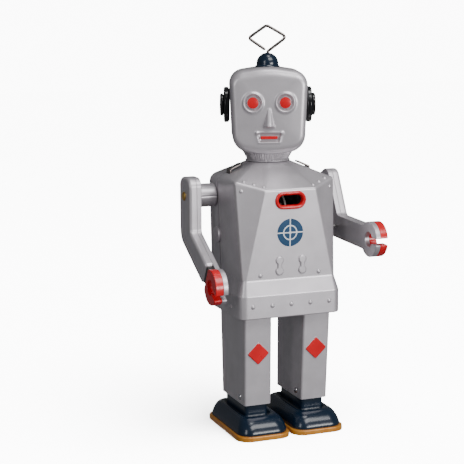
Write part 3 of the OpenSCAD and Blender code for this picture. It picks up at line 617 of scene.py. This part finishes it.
# small pressed domes that stand for rivets
dot = {"radius": 1.15, "height": 0.7}
dots = Shape()
dome = lathe(domeProfile(dot["radius"], dot["height"], 6), 20)
for x in (-19.6, -9.8, 0, 9.8, 19.6):
    dots.add(dome, onFront(x, 64.4, -b["bandHalfDepth"] + 0.05))
for x in (-15, 15):
    dots.add(dome, onPanel(x, 78.6, -0.05))
neckTop = Vector((0, b["neckY"], b["neckZ"]))
for side in (-1, 1):
    corner = Vector((side * b["shoulderHalfWidth"], b["cornerY"], b["cornerZ"]))
    panelCorner = Vector((side * b["panelHalfWidth"], b["panelY"], b["panelTop"]))
    towardNeck = (neckTop + Vector((side * 7, -8, 0))) - corner
    slope = (corner - panelCorner).cross(towardNeck).normalized() * side
    slope = slope if slope.z > 0 else -slope
    turn = Vector((0, 0, 1)).rotation_difference(slope).to_matrix().to_4x4()
    for share in (0.12, 0.45, 0.78):
        spot = panelCorner.lerp(corner, share) + (neckTop - corner).normalized() * 2.6
        dots.add(dome, Matrix.Translation(spot + slope * 0.1) @ turn)
    outward = Vector((side * 0.5, -0.86, 0.04)).normalized()
    face = panelCorner.lerp(corner, 0.78) + Vector((0, 0, -3.4))
    dots.add(dome, Matrix.Translation(face)
             @ Vector((0, 0, 1)).rotation_difference(outward).to_matrix().to_4x4())
    for y in (-12.5, 5 - 9.5):
        dots.add(dome, shift(side * (b["bandHalfWidth"] - 0.02), y, 62.8) @ turned("Y", side * 90))
dots.piece("pressed rivets", "torso", "silver_paint", ["silver"], ["waist_rivets"])

# two pressed double-lobe marks low on the chest
marks = Shape()
mark = {"low": 80.2, "high": 85.4, "radius": 2.1}
for x in (-5.3, 6.4):
    lift = (mark["high"] - mark["low"]) / 2
    lobe = arc((0, lift), mark["radius"], -55, 235, 16) + arc((0, -lift), mark["radius"], 125, 415, 16)
    marks.add(plate(lobe, 0.75, 0.7, 0.02), onPanel(x, (mark["low"] + mark["high"]) / 2, -0.03))
marks.piece("pressed chest marks", "torso", "silver_paint", ["silver"])

# cap on the right wall where the arbor ends
lean = b["shoulderHalfWidth"] - b["chestHalfWidth"]
wallHalf = b["chestHalfWidth"] + lean * (arborZ - b["chestLow"]) / 46.3
Shape().add(lathe(roundProfile([(4.0, 0, 0), (4.1, 0.5, 0.3), (3.7, 1.1, 0.5), (1.8, 1.75, 2.5),
                                (0.01, 1.8, 0)]), 48),
            shift(-wallHalf - 0.1, arborY + 2.2, arborZ + 0.4) @ turned("Y", -90)).piece(
    "arbor cap", "torso", "silver_paint", ["silver"], ["arbor_bush"])

# strap across the motor, its ends folded over on the shoulders
strap = Shape().add(plate(rectangle((-21, tabY), (21, tabY + 8), 0.5), 0.8, 0.2, 0.2), shift(0, 0, 118.2))
for side in (-1, 1):
    strap.add(plate(rectangle((tabY, 118.3), (tabY + tabWide, 126.4), 0.3), 0.8, 0.2, 0.2),
              shift(side * tabX - 0.4, 0, 0) @ toSide)
    fold = rectangle((0, 0), (7.0, tabWide), 0.9)
    strap.add(plate(fold, 0.8, 0.25, 0.25), shift(side * (tabX + 0.3), tabY, 125.9)
              @ mirrored(-side) @ turned("Y", -24))
strap.piece("motor strap with folded tabs", "torso", "bare_steel", ["wire"], ["motor_strap"])
print("body made")


# head
head = {"yaw": 20, "neckY": 4.5, "low": 134, "high": 175.2, "halfWidth": 18.5, "halfDepth": 16.5,
        "seam": -7.5,
        "eyeX": 7.65, "eyeZ": 158.7, "earZ": 157.0, "centreZ": 155}
headSpace = shift(0, head["neckY"], 0) @ turned("Z", -head["yaw"])
faceY = -head["halfDepth"]


def headOutline(count=208):
    loop = path([((0, head["high"] + 0.55), 46), ((head["halfWidth"] + 0.15, 172.9), 7.4),
                 ((17.0, 135.9), 8.6),
                 ((0, head["low"] - 0.35), 46), ((-17.0, 135.9), 8.6),
                 ((-head["halfWidth"] - 0.15, 172.9), 7.4)], 12, True)
    loop = list(reversed(loop))
    runs = [0.0]
    for i in range(len(loop)):
        runs.append(runs[-1] + (loop[(i + 1) % len(loop)] - loop[i]).length)
    made = []
    j = 0
    for k in range(count):
        want = runs[-1] * k / count
        while runs[j + 1] < want:
            j += 1
        share = (want - runs[j]) / max(runs[j + 1] - runs[j], 1e-9)
        made.append(loop[j].lerp(loop[(j + 1) % len(loop)], share))
    return made


outline = headOutline()


def rolls(side, top, bottom):  # edge roll for each point of the outline
    made = []
    for i in range(len(outline)):
        along = outline[(i + 1) % len(outline)] - outline[i - 1]
        up = -along.normalized().x
        up = up if outline[i].y > head["centreZ"] else -up
        rise = min(1, abs(up)) ** 2
        made.append(side + ((top if outline[i].y > head["centreZ"] else bottom) - side) * rise)
    return made


def smoothStep(value, low, high):
    t = min(1, max(0, (value - low) / (high - low)))
    return t * t * (3 - 2 * t)


def hump(value, width):
    return math.exp(-(value / width) ** 2)


def faceRelief(x, z):  # how far the pressed face stands forward of its plain curve
    rise = 0.0
    for side in (-1, 1):
        r = math.hypot(x - side * head["eyeX"], z - head["eyeZ"])
        rise += 0.75 * hump(r - 4.3, 0.7) - 0.8 * hump(r - 3.1, 0.55) + 0.2 * (1 - smoothStep(r, 2.2, 3.0))
    t = (156.2 - z) / 8.9  # nose, from the bridge down
    if -0.1 < t < 1.25:
        half = 0.75 + 1.95 * min(1, max(0, t)) ** 1.2
        height = 0.35 + 2.9 * min(1, max(0, t)) ** 1.4
        across = max(0, 1 - (x / half) ** 2) ** 0.65
        rise += height * across * smoothStep(t, -0.06, 0.1) * (1 - smoothStep(t, 0.93, 1.1))
    half = 5.1 + 0.24 * (z - 142.2)  # mouth recess, wider at its top
    edge = min(half - abs(x), 144.4 - z, z - 140.2)
    rise += -0.75 * smoothStep(edge, -0.2, 0.55) + 0.35 * hump(edge + 0.35, 0.45)
    for side in (-1, 1):
        rise += 0.5 * hump(math.hypot(x - side * 5.9, z - 144.5), 0.75)
    return rise


def headHalf(front):
    depthRolls = rolls(3.0, 5.2, 4.2) if front else rolls(6.6, 6.9, 6.8)
    sign = 1 if front else -1
    end = faceY if front else head["halfDepth"]
    seam = head["seam"] - sign * 0.08
    rows = [[Vector((p.x, seam, p.y)) for p in inset(outline, 0.0 if front else 0.12)]]
    steps = 10
    for k in range(steps + 1):
        turn = math.pi / 2 * k / steps
        loop = inset(outline, [r * (1 - math.cos(turn)) for r in depthRolls])
        rows.append([Vector((p.x, end + sign * r * (1 - math.sin(turn)), p.y)) for p,
                     r in zip(loop, depthRolls)])
    edge = rows[-1]
    middle = Vector((0, end, head["centreZ"]))
    cuts = 58 if front else 16
    for k in range(1, cuts):
        t = 1 - k / cuts
        crown = 0.55 * (1 - t * t)
        row = []
        for p in edge:
            q = middle.lerp(p, t)
            q.y = end - sign * (crown + (faceRelief(q.x, q.z) * smoothStep(1 - t, 0, 0.06) if front else 0))
            row.append(q)
        rows.append(row)
    verts, faces = grid(rows, True)
    wide = len(edge)
    tip = Vector((0, end - sign * (0.55 + (faceRelief(0, head["centreZ"]) if front else 0)),
                  head["centreZ"]))
    verts.append(tip)
    faces += [(len(verts) - 1 - wide + i, len(verts) - 1 - wide + (i + 1) % wide,
               len(verts) - 1) for i in range(wide)]
    return verts, faces


Shape().add(headHalf(True)).piece("face shell", "head", "silver_paint", ["silver"], ["head_front_shell"],
                                  headSpace,
                                  thick=0.5, centre=(0, 6, 155), creases=60)
Shape().add(headHalf(False)).piece("back of head", "head", "silver_paint", ["silver"], ["head_back_shell"],
                                   headSpace,
                                   thick=0.5, centre=(0, -8, 155), creases=60)

redParts = Shape()
for side in (-1, 1):
    redParts.add(lathe([(2.62, -0.3)] + [(r * 2.62 / 2.6, h + 0.05) for r, h in domeProfile(2.6, 0.3, 6)],
                       40),
                 onFront(side * head["eyeX"], head["eyeZ"], faceY - 0.62))
redParts.add(plate(rectangle((-4.0, -0.72), (4.0, 0.72), 0.35), 0.5, 0.22, 0.1),
             onFront(0, 142.3, faceY - 0.05))
redParts.piece("red eyes and mouth", "head", "red_paint", ["red"], space=headSpace)

# fluted collar under the chin
collar = {"low": 130.15, "high": 135.2, "lowRadius": 10.1, "highRadius": 12.5, "flutes": 58, "depth": 0.022}


def flutes(turn, height):
    fade = smoothStep(height, collar["low"] + 0.5, collar["low"] + 1.3)
    uneven = 0.7 + 0.5 * noise.noise(Vector((math.cos(turn) * 3, math.sin(turn) * 3, 0)))
    joint = 0.03 * hump((turn - math.radians(265)) * 10, 0.25)
    return 1 + collar["depth"] * fade * uneven * math.cos(collar["flutes"] * turn) - joint


collarRows = [(10.75, collar["low"]), (10.8, collar["low"] + 0.45)]
for k in range(9):
    t = k / 8
    collarRows.append((collar["lowRadius"] + (collar["highRadius"] - collar["lowRadius"]) * t ** 1.3,
                       collar["low"] + 0.55 + (collar["high"] - collar["low"] - 0.55) * t))
Shape().add(lathe(collarRows, 464, flutes)).piece("fluted neck collar", "head", "silver_paint", ["silver"],
                                                  ["neck_collar"], headSpace, creases=70)

# ears: a disc and a button on each side
ear = {"disc": 8.55, "button": 5.35}
for side, word in ((-1, "right"), (1, "left")):
    earSpace = headSpace @ shift(side * (head["halfWidth"] - 0.15), 0, head["earZ"]) @ turned("Y", side * 90)
    Shape().add(lathe(roundProfile([(7.6, 0, 0), (7.9, 0.35, 0.2), (8.3, 0.4, 0.15),
                                    (ear["disc"], 0.9, 0.4), (ear["disc"], 2.3, 0.5),
                                    (7.9, 2.75, 0.5), (6.6, 2.75, 0.4), (6.3, 2.3, 0.3), (0.01, 2.3, 0)],
                                    5), 72)).piece(
        word + " ear cup", "head", "gloss_black", ["black"], [word + "_ear_disc"], earSpace, creases=50)
    Shape().add(lathe(roundProfile([(4.6, 2.0, 0), (4.6, 2.9, 0.3), (ear["button"], 3.1, 0.3),
                                    (ear["button"], 4.2, 0.5),
                                    (4.6, 4.6, 0.6), (0.01, 4.75, 0)], 5), 60)).piece(
        word + " ear knob", "head", "gloss_black", ["black"], [word + "_ear_button"], earSpace, creases=50)

# dome and antenna
domeLow = head["high"] - 0.3
Shape().add(lathe([(5.9, 0.0), (6.0, 0.35), (5.85, 0.65), (5.45, 0.8), (5.3, 1.1)]
                  + [(5.3 * math.cos(math.pi / 2 * k / 14) + 0.01,
                      1.6 + 5.2 * math.sin(math.pi / 2 * k / 14)) for k in range(15)], 64)).piece(
    "aerial dome", "head", "blue_paint", ["blue"], ["antenna_dome"],
    headSpace @ shift(0, 0, domeLow), creases=50)
wirePath = path([((0.2, 0, 179), 0), ((0.2, 0, 182.3), 0.8), ((7.7, 0, 187.9), 0.5), ((8.3, 0, 188.8), 0.5),
                 ((7.6, 0, 190.0), 0.5),
                 ((0.2, 0, 194.3), 1.4), ((-0.9, 0, 194.3), 1.4), ((-9.1, 0, 188.6), 1.0),
                 ((-1.5, 0, 183.3), 0.5), ((-1.5, 0, 182.7), 0)], 6)
# the aerial's dark brown base colour is painted dark reflection of bright plating
Shape().add(tube(wirePath, 0.74)).piece("aerial wire", "head", "bare_steel", ["wire"], ["antenna_wire"],
                                        headSpace, creases=60)
print("head made")


# arms
arm = {"shoulderY": 12, "shoulderZ": 113.5, "inside": 34.196, "outside": 40.396, "seamShare": 0.38,
       "upperHalf": 7.5, "top": 9.2, "upper": 19.3, "elbow": 61, "foreHalf": 5.75, "fore": 39.5,
       "claw": 8.4, "hole": 3.55, "mouth": 3.0, "raise": 27}
along = Vector((-math.sin(math.radians(arm["elbow"])), -math.cos(math.radians(arm["elbow"]))))
across = Vector((-along.y, along.x))
elbowPoint = Vector((0, -arm["upper"]))
clawPoint = elbowPoint + along * arm["fore"]
clawTurn = math.degrees(math.atan2(along.y, along.x))


def onFore(run, off):  # a point along and across the forearm
    return elbowPoint + along * run + across * off


def clawTip(side, inner):  # the rounded corners of the claw's mouth
    half = arm["mouth"] / 2
    out = math.sqrt(arm["claw"] ** 2 - half ** 2)
    far = math.sqrt(arm["hole"] ** 2 - half ** 2)
    return clawPoint + along * (far if inner else out) + across * half * side


def elbowCorner(side):  # where the upper arm's edge line meets the forearm's: -1 front, 1 back
    edge = onFore(0, side * arm["foreHalf"])
    return edge + along * ((side * arm["upperHalf"] - edge.x) / along.x)


def sideArc(side):  # outer edge of the claw from the wrist to the mouth
    neck = math.degrees(math.asin(arm["foreHalf"] / arm["claw"]))
    tip = math.degrees(math.asin((arm["mouth"] / 2 + 1.2) / arm["claw"]))
    return arc(clawPoint, arm["claw"], clawTurn + side * (180 - neck), clawTurn + side * tip, 22)


def holeArc():  # edge of the hole from the mouth's upper side round to its lower side
    inner = math.degrees(math.asin((arm["mouth"] / 2 + 0.7) / arm["hole"]))
    return arc(clawPoint, arm["hole"], clawTurn - inner, clawTurn - 360 + inner, 30)


def clawEdge():
    corners = [(tuple(p), 0) for p in sideArc(-1)]
    corners += [(tuple(clawTip(-1, False)), 0.9), (tuple(clawTip(-1, True)), 0.65)]
    corners += [(tuple(p), 0) for p in holeArc()]
    corners += [(tuple(clawTip(1, True)), 0.65), (tuple(clawTip(1, False)), 0.9)]
    return corners + [(tuple(p), 0) for p in reversed(sideArc(1))]


def armOutline(ending):  # from the shoulder down the front, round the given end and up the back
    w = arm["upperHalf"]
    corners = [((w, arm["top"]), 4.6), ((-w, arm["top"]), 4.6), (tuple(elbowCorner(-1)), 2.6)]
    return ordered(path(corners + ending + [(tuple(elbowCorner(1)), 8)], 6, True))


def squareEnd(run):
    return [(tuple(onFore(run, -arm["foreHalf"])), 1.6), (tuple(onFore(run, arm["foreHalf"])), 1.6)]


def ordered(loop):  # makes an outline counter-clockwise, which inset needs
    area = sum(loop[i - 1].x * p.y - p.x * loop[i - 1].y for i, p in enumerate(loop))
    return loop if area > 0 else list(reversed(loop))


wristGap = 3.6
clawBack = math.sqrt(arm["claw"] ** 2 - arm["foreHalf"] ** 2)
innerThick = (arm["outside"] - arm["inside"]) * arm["seamShare"]
outerThick = (arm["outside"] - arm["inside"]) - innerThick
for side, word in ((-1, "right"), (1, "left")):
    raised = arm["raise"] if side > 0 else 0
    armSpace = mirrored(side) @ shift(0, arm["shoulderY"], arm["shoulderZ"]) @ turned("X", -raised)
    bodyName = word + "_arm"
    outward = armSpace @ shift(arm["inside"] + innerThick + 0.04, 0, 0) @ toSide
    inward = armSpace @ shift(arm["inside"] + innerThick - 0.04, 0, 0) @ mirrored(-1) @ toSide
    Shape().add(plate(armOutline(clawEdge()), innerThick - 0.04, 0.3, 0.1), inward).piece(
        word + " arm inner half", bodyName, "silver_paint", ["silver"], [word + "_arm_inner"], creases=50)
    wrist = arm["fore"] - clawBack
    outer = Shape().add(plate(armOutline(squareEnd(wrist - wristGap)), outerThick - 0.04, 1.5, 0.12),
                        outward)
    # a recessed near-black sheet across the wrist gap: painted shade standing in for the dark opening
    # between forearm and claw
    wristShadeSheet = ordered([onFore(wrist - wristGap - 2, 4.6), onFore(wrist + 1, 4.6), onFore(wrist + 1, -4.6),
                      onFore(wrist - wristGap - 2, -4.6)])
    outer.add(plate(wristShadeSheet, outerThick - 1.0, 0.3, 0.1), outward, 1)
    outer.add(plate(ordered(path(clawEdge(), 6, True)), outerThick - 0.04, 0.3, 0.1), outward, 2)
    outer.piece(word + " arm outer half", bodyName, "silver_paint", ["silver", "inside", "red"],
                [word + "_arm_outer"], creases=50)

    widening = b["shoulderHalfWidth"] - b["chestHalfWidth"]
    wallX = b["chestHalfWidth"] + widening * (arm["shoulderZ"] - b["chestLow"]) / 45.3

    def seamed(turn, height):
        return 1 - 0.06 * hump((turn - math.radians(180)) * 5.7, 0.28)

    tubeProfile = [(5.45, 0), (5.65, 0.15),
                   (5.7, 0.4)] + [(5.7, 0.4 + k) for k in range(1, 9)] + [(5.7, arm["inside"] - wallX - 0.5)]
    tubeSpace = armSpace @ shift(wallX + 0.3, 0, 0) @ toSide
    Shape().add(lathe(tubeProfile, 128, seamed), tubeSpace).piece(
        word + " arm spacer", bodyName, "silver_paint", ["silver"], [word + "_shoulder_tube"], creases=50)
    rivet = Shape().add(lathe([(1.5, -14), (1.5, 0)],
                              24)).add(lathe(roundProfile([(2.15, -0.1, 0), (2.2, 0.35, 0.3), (1.5, 0.8, 1),
                                                           (0.01, 0.95, 0)]), 32))
    rivet.piece(word + " brass rivet", bodyName, "brass", ["brass"], [word + "_shoulder_rivet"],
                armSpace @ shift(arm["outside"], 0, 0) @ toSide, creases=50)
print("arms made")


# legs and feet
leg = {"inside": 8.35, "wide": 13.9, "front": -20.5, "back": 12.5, "low": 14.8, "high": 62, "leanIn": 2.4,
       "taper": 0.5,
       "tin": 0.6, "corner": 1.0, "badgeZ": 40.5, "badgeHalf": 3.9, "ankleY": -12, "ankleZ": 18}
foot = {"inside": 0.6, "wide": 27, "toe": -28.4, "heel": 19.8, "sole": 2.4, "high": 9.9, "floor": 8.3}


def legRow(z):
    t = (z - leg["low"]) / (leg["high"] - leg["low"])
    low = (leg["inside"] - leg["taper"] * (1 - t), leg["front"] + leg["leanIn"] * (1 - t))
    high = (leg["inside"] + leg["wide"] - leg["taper"] * 1.5 * (1 - t), leg["back"] - leg["taper"] * (1 - t))
    return [Vector((p.x, p.y, z)) for p in rectangle(low, high, leg["corner"], 5)]


def shoeRow(depth, z, frontExtra=0, corner=6.5):
    low = (foot["inside"] + 1 + depth, foot["toe"] + 1 + depth * 1.15 + frontExtra)
    high = (foot["inside"] + foot["wide"] - 1 - depth, foot["heel"] - 1 - depth)
    return [Vector((p.x, p.y, z)) for p in rectangle(low, high, max(corner - depth * 0.5, 1.2), 8)]


def blockRow(z, grow=0.0, corner=1.6):
    low = (leg["inside"] - leg["taper"] + leg["tin"] + 0.5 - grow, leg["front"] + leg["leanIn"] + 1.7 - grow)
    high = (leg["inside"] + leg["wide"] - leg["taper"] * 1.5 - leg["tin"] - 0.5 + grow,
            leg["back"] - leg["taper"] - 1.9 + grow)
    return [Vector((p.x, p.y, z)) for p in rectangle(low, high, corner + grow * 0.5, 6)]


for side, word in ((-1, "right"), (1, "left")):
    handed = mirrored(side)
    rows = [legRow(z) for z in (leg["low"], leg["low"] + 0.4, 20, 30, 40, 50, leg["high"] - 0.4,
                                leg["high"])]
    Shape().add(grid(rows, True)).piece(word + " leg sleeve", word + "_leg", "silver_paint", ["silver"],
                                        [word + "_leg"],
                                        handed, thick=leg["tin"], centre=(15, -4, 38))
    badgeX = leg["inside"] + leg["wide"] / 2 - 0.3
    t = (leg["badgeZ"] - leg["low"]) / (leg["high"] - leg["low"])
    badgeY = leg["front"] + leg["leanIn"] * (1 - t)
    lean = math.atan(leg["leanIn"] / (leg["high"] - leg["low"]))
    badgeSpace = handed @ shift(badgeX, badgeY + 0.05, leg["badgeZ"]) @ Matrix.Rotation(lean, 4,
                                                            "X") @ toFront @ turned("Z", 45)
    h = leg["badgeHalf"]
    Shape().add(plate(rectangle((-h - 0.25, -h - 0.25), (h + 0.25, h + 0.25), 0.9), 0.28, 0.25, 0.02),
                badgeSpace, 1).add(
        plate(rectangle((-h, -h), (h, h), 0.75), 0.65, 0.35, 0.02), badgeSpace, 0).piece(
        word + " leg badge", word + "_leg", "red_paint", ["red", "silver"])
    rivets = Shape()
    for x, way in ((leg["inside"] + leg["wide"] - 0.75, 1), (leg["inside"] - leg["taper"] + 0.05, -1)):
        rivets.add(lathe([(1.1, -2.2), (1.1, -0.1)] + domeProfile(1.5, 0.95, 7), 28),
                   shift(x, leg["ankleY"], leg["ankleZ"]) @ turned("Y", way * 90))
    rivets.piece(word + " ankle pins", word + "_leg", "chrome", ["chrome"], [word + "_ankle_rivets"], handed)

    profile = [(0.9, foot["sole"] - 0.05, 0), (0.15, foot["sole"] + 0.05, 0), (0.0, foot["sole"] + 0.5, 0),
               (0.15, 3.9, 0), (0.55, 5.3, 0.1), (1.05, 6.6, 0.3),
               (1.6, 7.7, 0.7), (2.25, 8.7, 1.2), (3.0, 9.4, 1.8), (3.8, 9.8, 2.2),
               (4.6, foot["high"], 2.5), (5.2, 9.75, 2.6), (5.6, 9.3, 2.7),
               (6.0, 8.7, 2.8), (6.5, foot["floor"], 2.9), (7.6, foot["floor"] - 0.1, 2.9)]
    shoe = Shape().add(capped([shoeRow(depth, z, extra) for depth, z, extra in profile]))
    top = leg["ankleZ"] + 2.2
    shoe.add(capped([blockRow(z, grow) for z,
                     grow in ((foot["floor"] - 0.6, 1.1), (foot["floor"] - 0.05, 1.0),
                              (foot["floor"] + 0.25, 0.45),
                                                      (foot["floor"] + 0.8, 0.12), (foot["floor"] + 1.6, 0),
                                                      (top - 0.5, 0), (top, -0.5))]))
    shoe.piece(word + " boot", word + "_foot", "blue_paint", ["blue"], [word + "_shoe"], handed, creases=55)
    soleLoop = rectangle((foot["inside"], foot["toe"]), (foot["inside"] + foot["wide"], foot["heel"]), 6.5,
                         8)
    Shape().add(plate(soleLoop, foot["sole"], 0.45, 0.3)).piece(
        word + " boot sole", word + "_foot", "gold_paint", ["sole"], [word + "_sole"], handed, creases=50)
print("legs and feet made")


# winding key
key = {"neck": 1.8, "span": 28, "thick": 1.0}
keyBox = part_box("winding_key")
keyX = keyBox[0].x / mm
wing = (keyBox[1].x - keyBox[0].x) / mm - key["neck"]
keySpace = shift(keyX, arborY, arborZ) @ turned("X", -14)
keyShape = Shape().add(lathe(roundProfile([(2.4, 0, 0), (2.4, key["neck"] + 2.4, 0.5),
                                           (0.01, key["neck"] + 2.4, 0)]), 32), turned("Y", 90))
for side in (-1, 1):
    lobe = path([((0, 0.3), 0.4), ((wing * 0.5, 0.3), 1.5), ((wing, 3.5), 2.5),
                 ((wing, key["span"] / 2), 2.4), ((0, key["span"] / 2), 2.4)], 6, True)
    lobe = ordered([Vector((p.x + key["neck"], p.y * side)) for p in lobe])
    keyShape.add(plate(lobe, key["thick"], 0.35, 0.35), shift(0, 0, -key["thick"] / 2))
keyCut = Shape()
for side in (-1, 1):
    keyCut.add(lathe([(wing * 0.24, -3), (wing * 0.24, 3)], 28),
               shift(key["neck"] + wing / 2, side * key["span"] * 0.3, 0))
keyCut = keyCut.cutter("key cut", keySpace)
keyShape.piece("butterfly key", "winding", "bare_steel", ["steel"], ["winding_key"], keySpace,
               carve=[keyCut])
drop(keyCut)
print("key made")


# motor parts that keep their own shapes
kept = {"steel": ["motor_plate_right", "motor_plate_left", "motor_pillars", "hip_rod", "flint_spring",
                  "neck_rivet", "stop_lever",
                  "right_leg_hanger", "left_leg_hanger", "winding_arbor", "ratchet_wheel", "crank_shaft",
                  "crank_pinion",
                  "right_crank_disc", "left_crank_disc", "spark_shaft", "spark_pinion"],
        "brass": ["great_wheel", "crank_wheel", "flint_holder"],
        "spring": ["mainspring"], "flint": ["flint"], "emery": ["spark_wheel"]}
for paint, names in kept.items():
    for name in names:
        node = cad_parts[name]
        node.data.materials.clear()
        node.data.materials.append(finishes[paint])
print("motor finished")


# stage, lights and camera
def look(place, aim, roll=0.0):
    ahead = (Vector(aim) - Vector(place)).normalized()
    right = ahead.cross(Vector((0, 0, 1))).normalized()
    up = right.cross(ahead)
    turn = math.radians(roll)
    right, up = right * math.cos(turn) + up * math.sin(turn), up * math.cos(turn) - right * math.sin(turn)
    return Matrix(((right.x, up.x, -ahead.x, place[0]), (right.y, up.y, -ahead.y, place[1]),
                   (right.z, up.z, -ahead.z, place[2]), (0, 0, 0, 1)))


view = {"place": (-243.3, -576.3, 197.8), "aim": (-20.48, 0, 96.52), "roll": -0.35, "lens": 101.0}
eye = bpy.data.cameras.new("camera")
eye.lens = view["lens"]
eye.sensor_width = 36
camera = bpy.data.objects.new("camera", eye)
camera.matrix_world = look([c * mm for c in Vector(view["place"]) + Vector((0, bodyY, 0))],
                           [c * mm for c in Vector(view["aim"]) + Vector((0, bodyY, 0))], view["roll"])
bpy.context.scene.collection.objects.link(camera)
bpy.context.scene.camera = camera

floorMesh = bpy.data.meshes.new("floor")
reach = 60
rim, rise = 3, 3.4  # flat round the robot, then rising a little to the far edge
floorMesh.from_pydata([(x * r, y * r, z) for r, z in ((rim, 0), (reach, rise))
                       for x, y in ((-1, -1), (1, -1), (1, 1), (-1, 1))], [],
                      [(0, 1, 2, 3)] + [(i, (i + 1) % 4, 4 + (i + 1) % 4, 4 + i) for i in range(4)])
pale = Finish("pale floor", Specular_IOR_Level=0.1)
floorMesh.materials.append(pale.set(Base_Color=(0.9, 0.9, 0.9, 1), Roughness=0.9))
floor = bpy.data.objects.new("floor", floorMesh)
bpy.context.scene.collection.objects.link(floor)

lights = {"front box": {"place": (0.5, -1.3, 0.24), "size": (0.7, 0.3), "power": 13},
          "high box": {"place": (0.3, -0.9, 1.25), "size": (0.9, 0.7), "power": 17},
          "left box": {"place": (-1.0, -0.75, 0.5), "size": (0.2, 0.7), "power": 3.5},
          "top box": {"place": (0.1, -0.1, 1.1), "size": (0.3, 0.3), "power": 2.5}}
for name, l in lights.items():
    lamp = bpy.data.lights.new(name, "AREA")
    lamp.shape = "RECTANGLE"
    lamp.size, lamp.size_y = l["size"]
    lamp.energy = l["power"]
    made = bpy.data.objects.new(name, lamp)
    made.matrix_world = look(l["place"], (0, 0, 0.1))
    bpy.context.scene.collection.objects.link(made)
sunLamp = bpy.data.lights.new("floor light", "SUN")
sunLamp.energy = 40
sunLamp.angle = math.radians(60)
sun = bpy.data.objects.new("floor light", sunLamp)
sun.matrix_world = look((0.3, -0.5, 1.6), (0, 0, 0))
bpy.context.scene.collection.objects.link(sun)
lit = bpy.data.collections.new("lit by the floor light")
lit.objects.link(floor)
sun.light_linking.receiver_collection = lit
floor.visible_diffuse = False
floor.visible_glossy = False

world = bpy.data.worlds.new("studio")
world.use_nodes = True
world.node_tree.nodes["Background"].inputs["Color"].default_value = (0.9, 0.92, 0.95, 1)
world.node_tree.nodes["Background"].inputs["Strength"].default_value = 0.16
bpy.context.scene.world = world
print("stage set")
